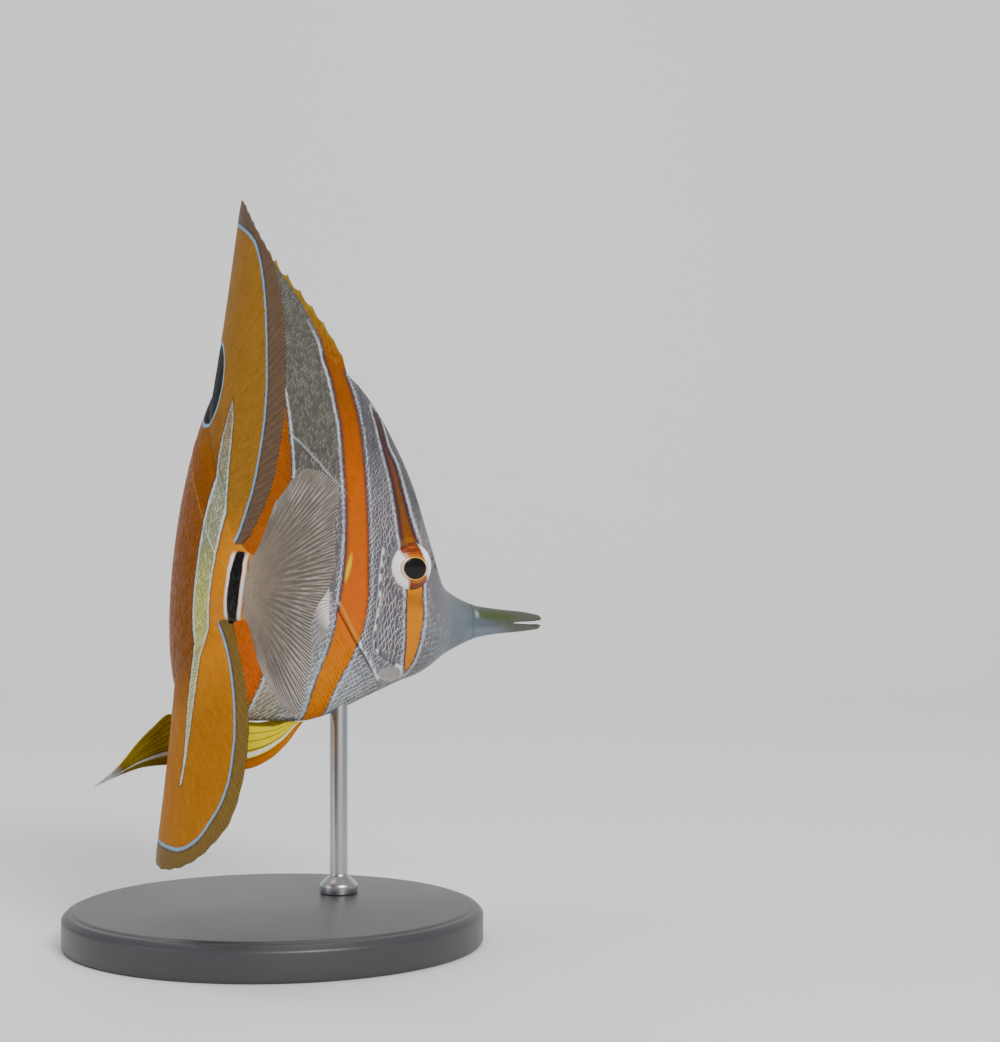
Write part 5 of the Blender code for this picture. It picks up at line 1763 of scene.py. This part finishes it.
class CopperbandColours(PropertyGroup):
    """Colours of the fish."""

    snout: colour_setting("Snout", "Face in front of the eye", (0.118, 0.148, 0.165))
    jaw: colour_setting("Jaws", "Jaws and snout", (0.088, 0.112, 0.132))
    lower_jaw: colour_setting("Lower jaw", "Lower jaw", (0.15, 0.185, 0.215))
    # nape: colour of the painted shade on the upper head and the crest in front of the eye band
    nape: colour_setting("Nape", "Upper part of the head", (0.05, 0.056, 0.058))
    breast_pad: colour_setting("Breast pad", "Smooth root of the breast fin", (0.42, 0.39, 0.44))
    crown: colour_setting("Crown", "Upper edge of the face and snout", (0.075, 0.078, 0.055))
    silver: colour_setting("Silver", "Head and cheek", (0.19, 0.175, 0.19))
    flank: colour_setting("Flank", "Flank behind the second band", (0.092, 0.09, 0.07))
    belly: colour_setting("Belly", "Breast and belly", (0.31, 0.355, 0.375))
    # rim and rim_warm: the scales' light edges, partly painted glints; rim_warm also colours the root of
    # the breast fins
    rim: colour_setting("Scale rim", "Bright rims of the scales", (0.86, 0.88, 0.92))
    rim_warm: colour_setting("Warm rim", "Warmer rims of the scales", (0.88, 0.8, 0.78))
    cell: colour_setting("Scale middle", "Dark middles of the scales", (0.082, 0.075, 0.092))
    streak: colour_setting("Snout streak", "Olive streak on the upper jaw", (0.055, 0.082, 0.016))
    orange: colour_setting("Orange", "Second band", (0.55, 0.1, 0.0))
    # copper: darker parts of the bands, and also their painted shade at the top of the second band and the
    # rear of the third
    copper: colour_setting("Copper", "Darker parts of the bands", (0.225, 0.062, 0.004))
    # rear_shade: colour of the painted shade on the rear of the third band
    rear_shade: colour_setting("Rust", "Rear of the third band", (0.2, 0.057, 0.002))
    vent: colour_setting("Vent", "Rear of the belly", (0.31, 0.29, 0.195))
    brown: colour_setting("Brown", "Darkest parts of the bands", (0.145, 0.05, 0.01))
    gold: colour_setting("Gold", "Lighter parts of the bands", (0.58, 0.19, 0.0))
    dorsal_gold: colour_setting("Dorsal gold", "Inner part of the dorsal fin", (0.27, 0.12, 0.012))
    anal_gold: colour_setting("Anal gold", "Inner part of the anal fin", (0.39, 0.135, 0.0))
    # gold_light: rays and small scales of the long fins, and also the painted highlight along the gill
    # cover's edge
    gold_light: colour_setting("Light gold", "Rays and small scales of the long fins", (0.52, 0.28, 0.05))
    olive: colour_setting("Olive", "Tips of the dorsal spines", (0.2, 0.15, 0.014))
    # yellow: belly fins, and also the painted highlight on the second band
    yellow: colour_setting("Yellow", "Belly fins", (0.66, 0.53, 0.0))
    yellow_dark: colour_setting("Dark yellow", "Outer part of the belly fins", (0.16, 0.1, 0.006))
    dark_line: colour_setting("Dark line", "Thin dark edge of the bands", (0.030, 0.018, 0.032))
    pale_line: colour_setting("Pale line", "Pale line beside the bands", (0.66, 0.73, 0.8))
    blue_line: colour_setting("Blue line", "Blue line of the long fins", (0.16, 0.5, 0.8))
    white_line: colour_setting("White line", "Edges of the tail's bar", (0.72, 0.86, 0.92))
    field: colour_setting("Pale field", "Narrow pale field near the tail", (0.2, 0.215, 0.13))
    field_low: colour_setting("Low pale field", "Lower part of the pale field", (0.47, 0.48, 0.09))
    field_speck: colour_setting("Field specks", "Bright specks of the pale field", (0.75, 0.75, 0.3))
    dorsal_margin: colour_setting("Dorsal margin", "Dusky edge of the dorsal fin", (0.105, 0.066, 0.047))
    anal_margin: colour_setting("Anal margin", "Dusky edge of the anal fin", (0.155, 0.095, 0.022))
    tail_root: colour_setting("Tail root", "Root of the tail fin", (0.23, 0.175, 0.13))
    tail_web: colour_setting("Tail web", "Web of the tail fin", (0.145, 0.12, 0.095))
    tail_ray: colour_setting("Rays", "Rays of the clear fins", (0.6, 0.56, 0.51))
    web: colour_setting("Web", "Web of the breast fins", (0.30, 0.30, 0.30))
    black: colour_setting("Black", "Eye spot, bar and pupil", (0.006, 0.006, 0.007))
    # mouth: colour of the painted shade inside the mouth and the nostrils
    mouth: colour_setting("Mouth", "Inside of the mouth and nostrils", (0.020, 0.014, 0.014))
    eye_white: colour_setting("Eye white", "White of the eye", (0.95, 0.96, 0.92))
    eye_copper: colour_setting("Eye copper", "Orange of the eye", (0.48, 0.075, 0.002))
    eye_dark: colour_setting("Eye dark", "Dark streaks of the eye", (0.10, 0.022, 0.008))
    eye_ring: colour_setting("Eye ring", "Ring round the pupil", (0.92, 0.46, 0.03))


class CopperbandStage(PropertyGroup):
    """Floor and lights."""

    floor: colour_setting("Floor", "Floor and backdrop", (0.78, 0.78, 0.77))
    key_power: FloatProperty(name="Key light", description="Power of the main light", default=24.0,
                             unit="POWER")
    fill_power: FloatProperty(name="Fill light", description="Power of the fill light", default=3.5,
                              unit="POWER")
    top_power: FloatProperty(name="Top light", description="Power of the light from above", default=9.0,
                             unit="POWER")
    sky: FloatProperty(name="Sky", description="Strength of the light from all round", default=0.4)


def make_stage(stage):
    """Floor, lights and camera."""
    bm = bmesh.new()
    bmesh.ops.create_grid(bm, x_segments=2, y_segments=96, size=1.0)
    mesh = mesh_of(bm, "floor")
    flat = places_of(mesh)
    run = (flat[:, 1] + 1) / 2 * FLOOR_RUN
    turn = np.clip((run - BEND_START) / BEND_RADIUS, 0, math.pi / 2)
    y = -FLOOR_FRONT + np.minimum(run, BEND_START) + BEND_RADIUS * np.sin(turn)
    z = BEND_RADIUS * (1 - np.cos(turn))
    z = z + np.maximum(0, run - BEND_START - BEND_RADIUS * math.pi / 2)
    set_places(mesh, np.stack([flat[:, 0] * FLOOR_HALF_WIDTH, y, z], 1))
    mesh.shade_smooth()
    floor = bpy.data.objects.new("floor", mesh)
    bpy.context.scene.collection.objects.link(floor)
    p = Paint("pale_floor", Roughness=0.75)
    cloud = p.noise(p.object_place(), 3.0, 2.0)
    mesh.materials.append(p.finish(Base_Color=p.tint(tuple(stage.floor), 0.985 + 0.03 * cloud)))

    def soft_light(name, at, width, power, colour):
        """A soft square light that looks at the model."""
        lamp = bpy.data.lights.new(name, "AREA")
        lamp.shape = "SQUARE"
        lamp.size = width
        lamp.energy = power
        lamp.color = colour
        thing = bpy.data.objects.new(name, lamp)
        thing.location = at
        thing.rotation_euler = (Vector(LIGHT_TARGET) - Vector(at)).to_track_quat("-Z", "Y").to_euler()
        bpy.context.scene.collection.objects.link(thing)

    soft_light("key_light", (0.62, -1.15, 0.95), 0.5, stage.key_power, (1.0, 0.985, 0.96))
    soft_light("fill_light", (-1.1, -0.6, 0.5), 0.8, stage.fill_power, (0.95, 0.98, 1.0))
    soft_light("top_light", (-0.1, 0.3, 1.3), 0.9, stage.top_power, (1.0, 1.0, 1.0))
    world = bpy.data.worlds.new("soft_sky")
    bpy.context.scene.world = world
    world.use_nodes = True
    sky = world.node_tree.nodes["Background"]
    sky.inputs["Color"].default_value = (0.9, 0.93, 1.0, 1.0)
    sky.inputs["Strength"].default_value = stage.sky

    camera = bpy.data.objects.new("camera", bpy.data.cameras.new("camera"))
    camera.location = CAMERA_PLACE
    camera.rotation_euler = (math.pi / 2, 0, 0)
    camera.data.sensor_width = SENSOR_WIDTH
    camera.data.lens = FOCAL_PIXELS / FRAME_PIXELS * SENSOR_WIDTH
    camera.data.clip_start = 0.01
    camera.data.clip_end = 50.0
    bpy.context.scene.collection.objects.link(camera)
    bpy.context.scene.camera = camera


def book(context):
    """The panel's colours as plain values."""
    chosen = context.scene.copperband_colours
    names = CopperbandColours.__annotations__
    return SimpleNamespace(**{name: tuple(getattr(chosen, name)) for name in names})


class COPPERBAND_OT_skin(Operator):
    """Builds the one skin of head and body"""
    bl_idname = "copperband.skin"
    bl_label = "Skin"

    def execute(self, context):
        build_skin(context.scene.copperband_sizes, skin_paint(book(context)))
        return {"FINISHED"}


class COPPERBAND_OT_scales(Operator):
    """Lays the coats of scales over the skin"""
    bl_idname = "copperband.scales"
    bl_label = "Scales"

    def execute(self, context):
        build_scales(context.scene.copperband_sizes, scale_paint(book(context)))
        return {"FINISHED"}


class COPPERBAND_OT_eyes(Operator):
    """Builds both eyes"""
    bl_idname = "copperband.eyes"
    bl_label = "Eyes"

    def execute(self, context):
        paint = eye_paint(book(context))
        build_eye(1, "eye_right", paint)
        build_eye(-1, "eye_left", paint)
        return {"FINISHED"}


class COPPERBAND_OT_middle_fins(Operator):
    """Builds the dorsal, anal and tail fins"""
    bl_idname = "copperband.middle_fins"
    bl_label = "Middle fins"

    def execute(self, context):
        colours = book(context)
        build_middle_fins({"soft": soft_fin_paint(colours), "caudal": caudal_paint(colours)})
        return {"FINISHED"}


class COPPERBAND_OT_paired_fins(Operator):
    """Builds the breast and belly fins"""
    bl_idname = "copperband.paired_fins"
    bl_label = "Paired fins"

    def execute(self, context):
        colours = book(context)
        build_paired_fins({"pectoral": pectoral_paint(colours), "pelvic": pelvic_paint(colours)})
        return {"FINISHED"}


class COPPERBAND_OT_stand(Operator):
    """Builds the display base and its rod"""
    bl_idname = "copperband.stand"
    bl_label = "Stand"

    def execute(self, context):
        build_stand({"base": base_paint(), "rod": rod_paint()})
        return {"FINISHED"}


class COPPERBAND_OT_stage(Operator):
    """Makes the floor, the lights and the camera"""
    bl_idname = "copperband.stage"
    bl_label = "Stage"

    def execute(self, context):
        make_stage(context.scene.copperband_stage)
        return {"FINISHED"}


OPERATORS = (COPPERBAND_OT_skin, COPPERBAND_OT_scales, COPPERBAND_OT_eyes, COPPERBAND_OT_middle_fins,
             COPPERBAND_OT_paired_fins, COPPERBAND_OT_stand, COPPERBAND_OT_stage)


class COPPERBAND_PT_panel(Panel):
    """Lists the model's pieces and settings"""
    bl_label = "Copperband"
    bl_space_type = "VIEW_3D"
    bl_region_type = "UI"
    bl_category = "Copperband"

    def draw(self, context):
        for operator in OPERATORS:
            self.layout.operator(operator.bl_idname)
        for group in (context.scene.copperband_sizes, context.scene.copperband_colours,
                      context.scene.copperband_stage):
            for name in group.__annotations__:
                self.layout.prop(group, name)


GROUPS = (CopperbandSizes, CopperbandColours, CopperbandStage)


def register():
    """Adds the settings, operators and panel."""
    for kind in GROUPS + OPERATORS + (COPPERBAND_PT_panel,):
        bpy.utils.register_class(kind)
    bpy.types.Scene.copperband_sizes = PointerProperty(type=CopperbandSizes)
    bpy.types.Scene.copperband_colours = PointerProperty(type=CopperbandColours)
    bpy.types.Scene.copperband_stage = PointerProperty(type=CopperbandStage)


def unregister():
    """Takes the settings, operators and panel away."""
    del bpy.types.Scene.copperband_sizes
    del bpy.types.Scene.copperband_colours
    del bpy.types.Scene.copperband_stage
    for kind in reversed(GROUPS + OPERATORS + (COPPERBAND_PT_panel,)):
        bpy.utils.unregister_class(kind)


def main():
    """Builds every piece."""
    register()
    bpy.ops.copperband.skin()
    bpy.ops.copperband.scales()
    bpy.ops.copperband.eyes()
    bpy.ops.copperband.middle_fins()
    bpy.ops.copperband.paired_fins()
    bpy.ops.copperband.stand()
    bpy.ops.copperband.stage()


if __name__ == "__main__":
    main()
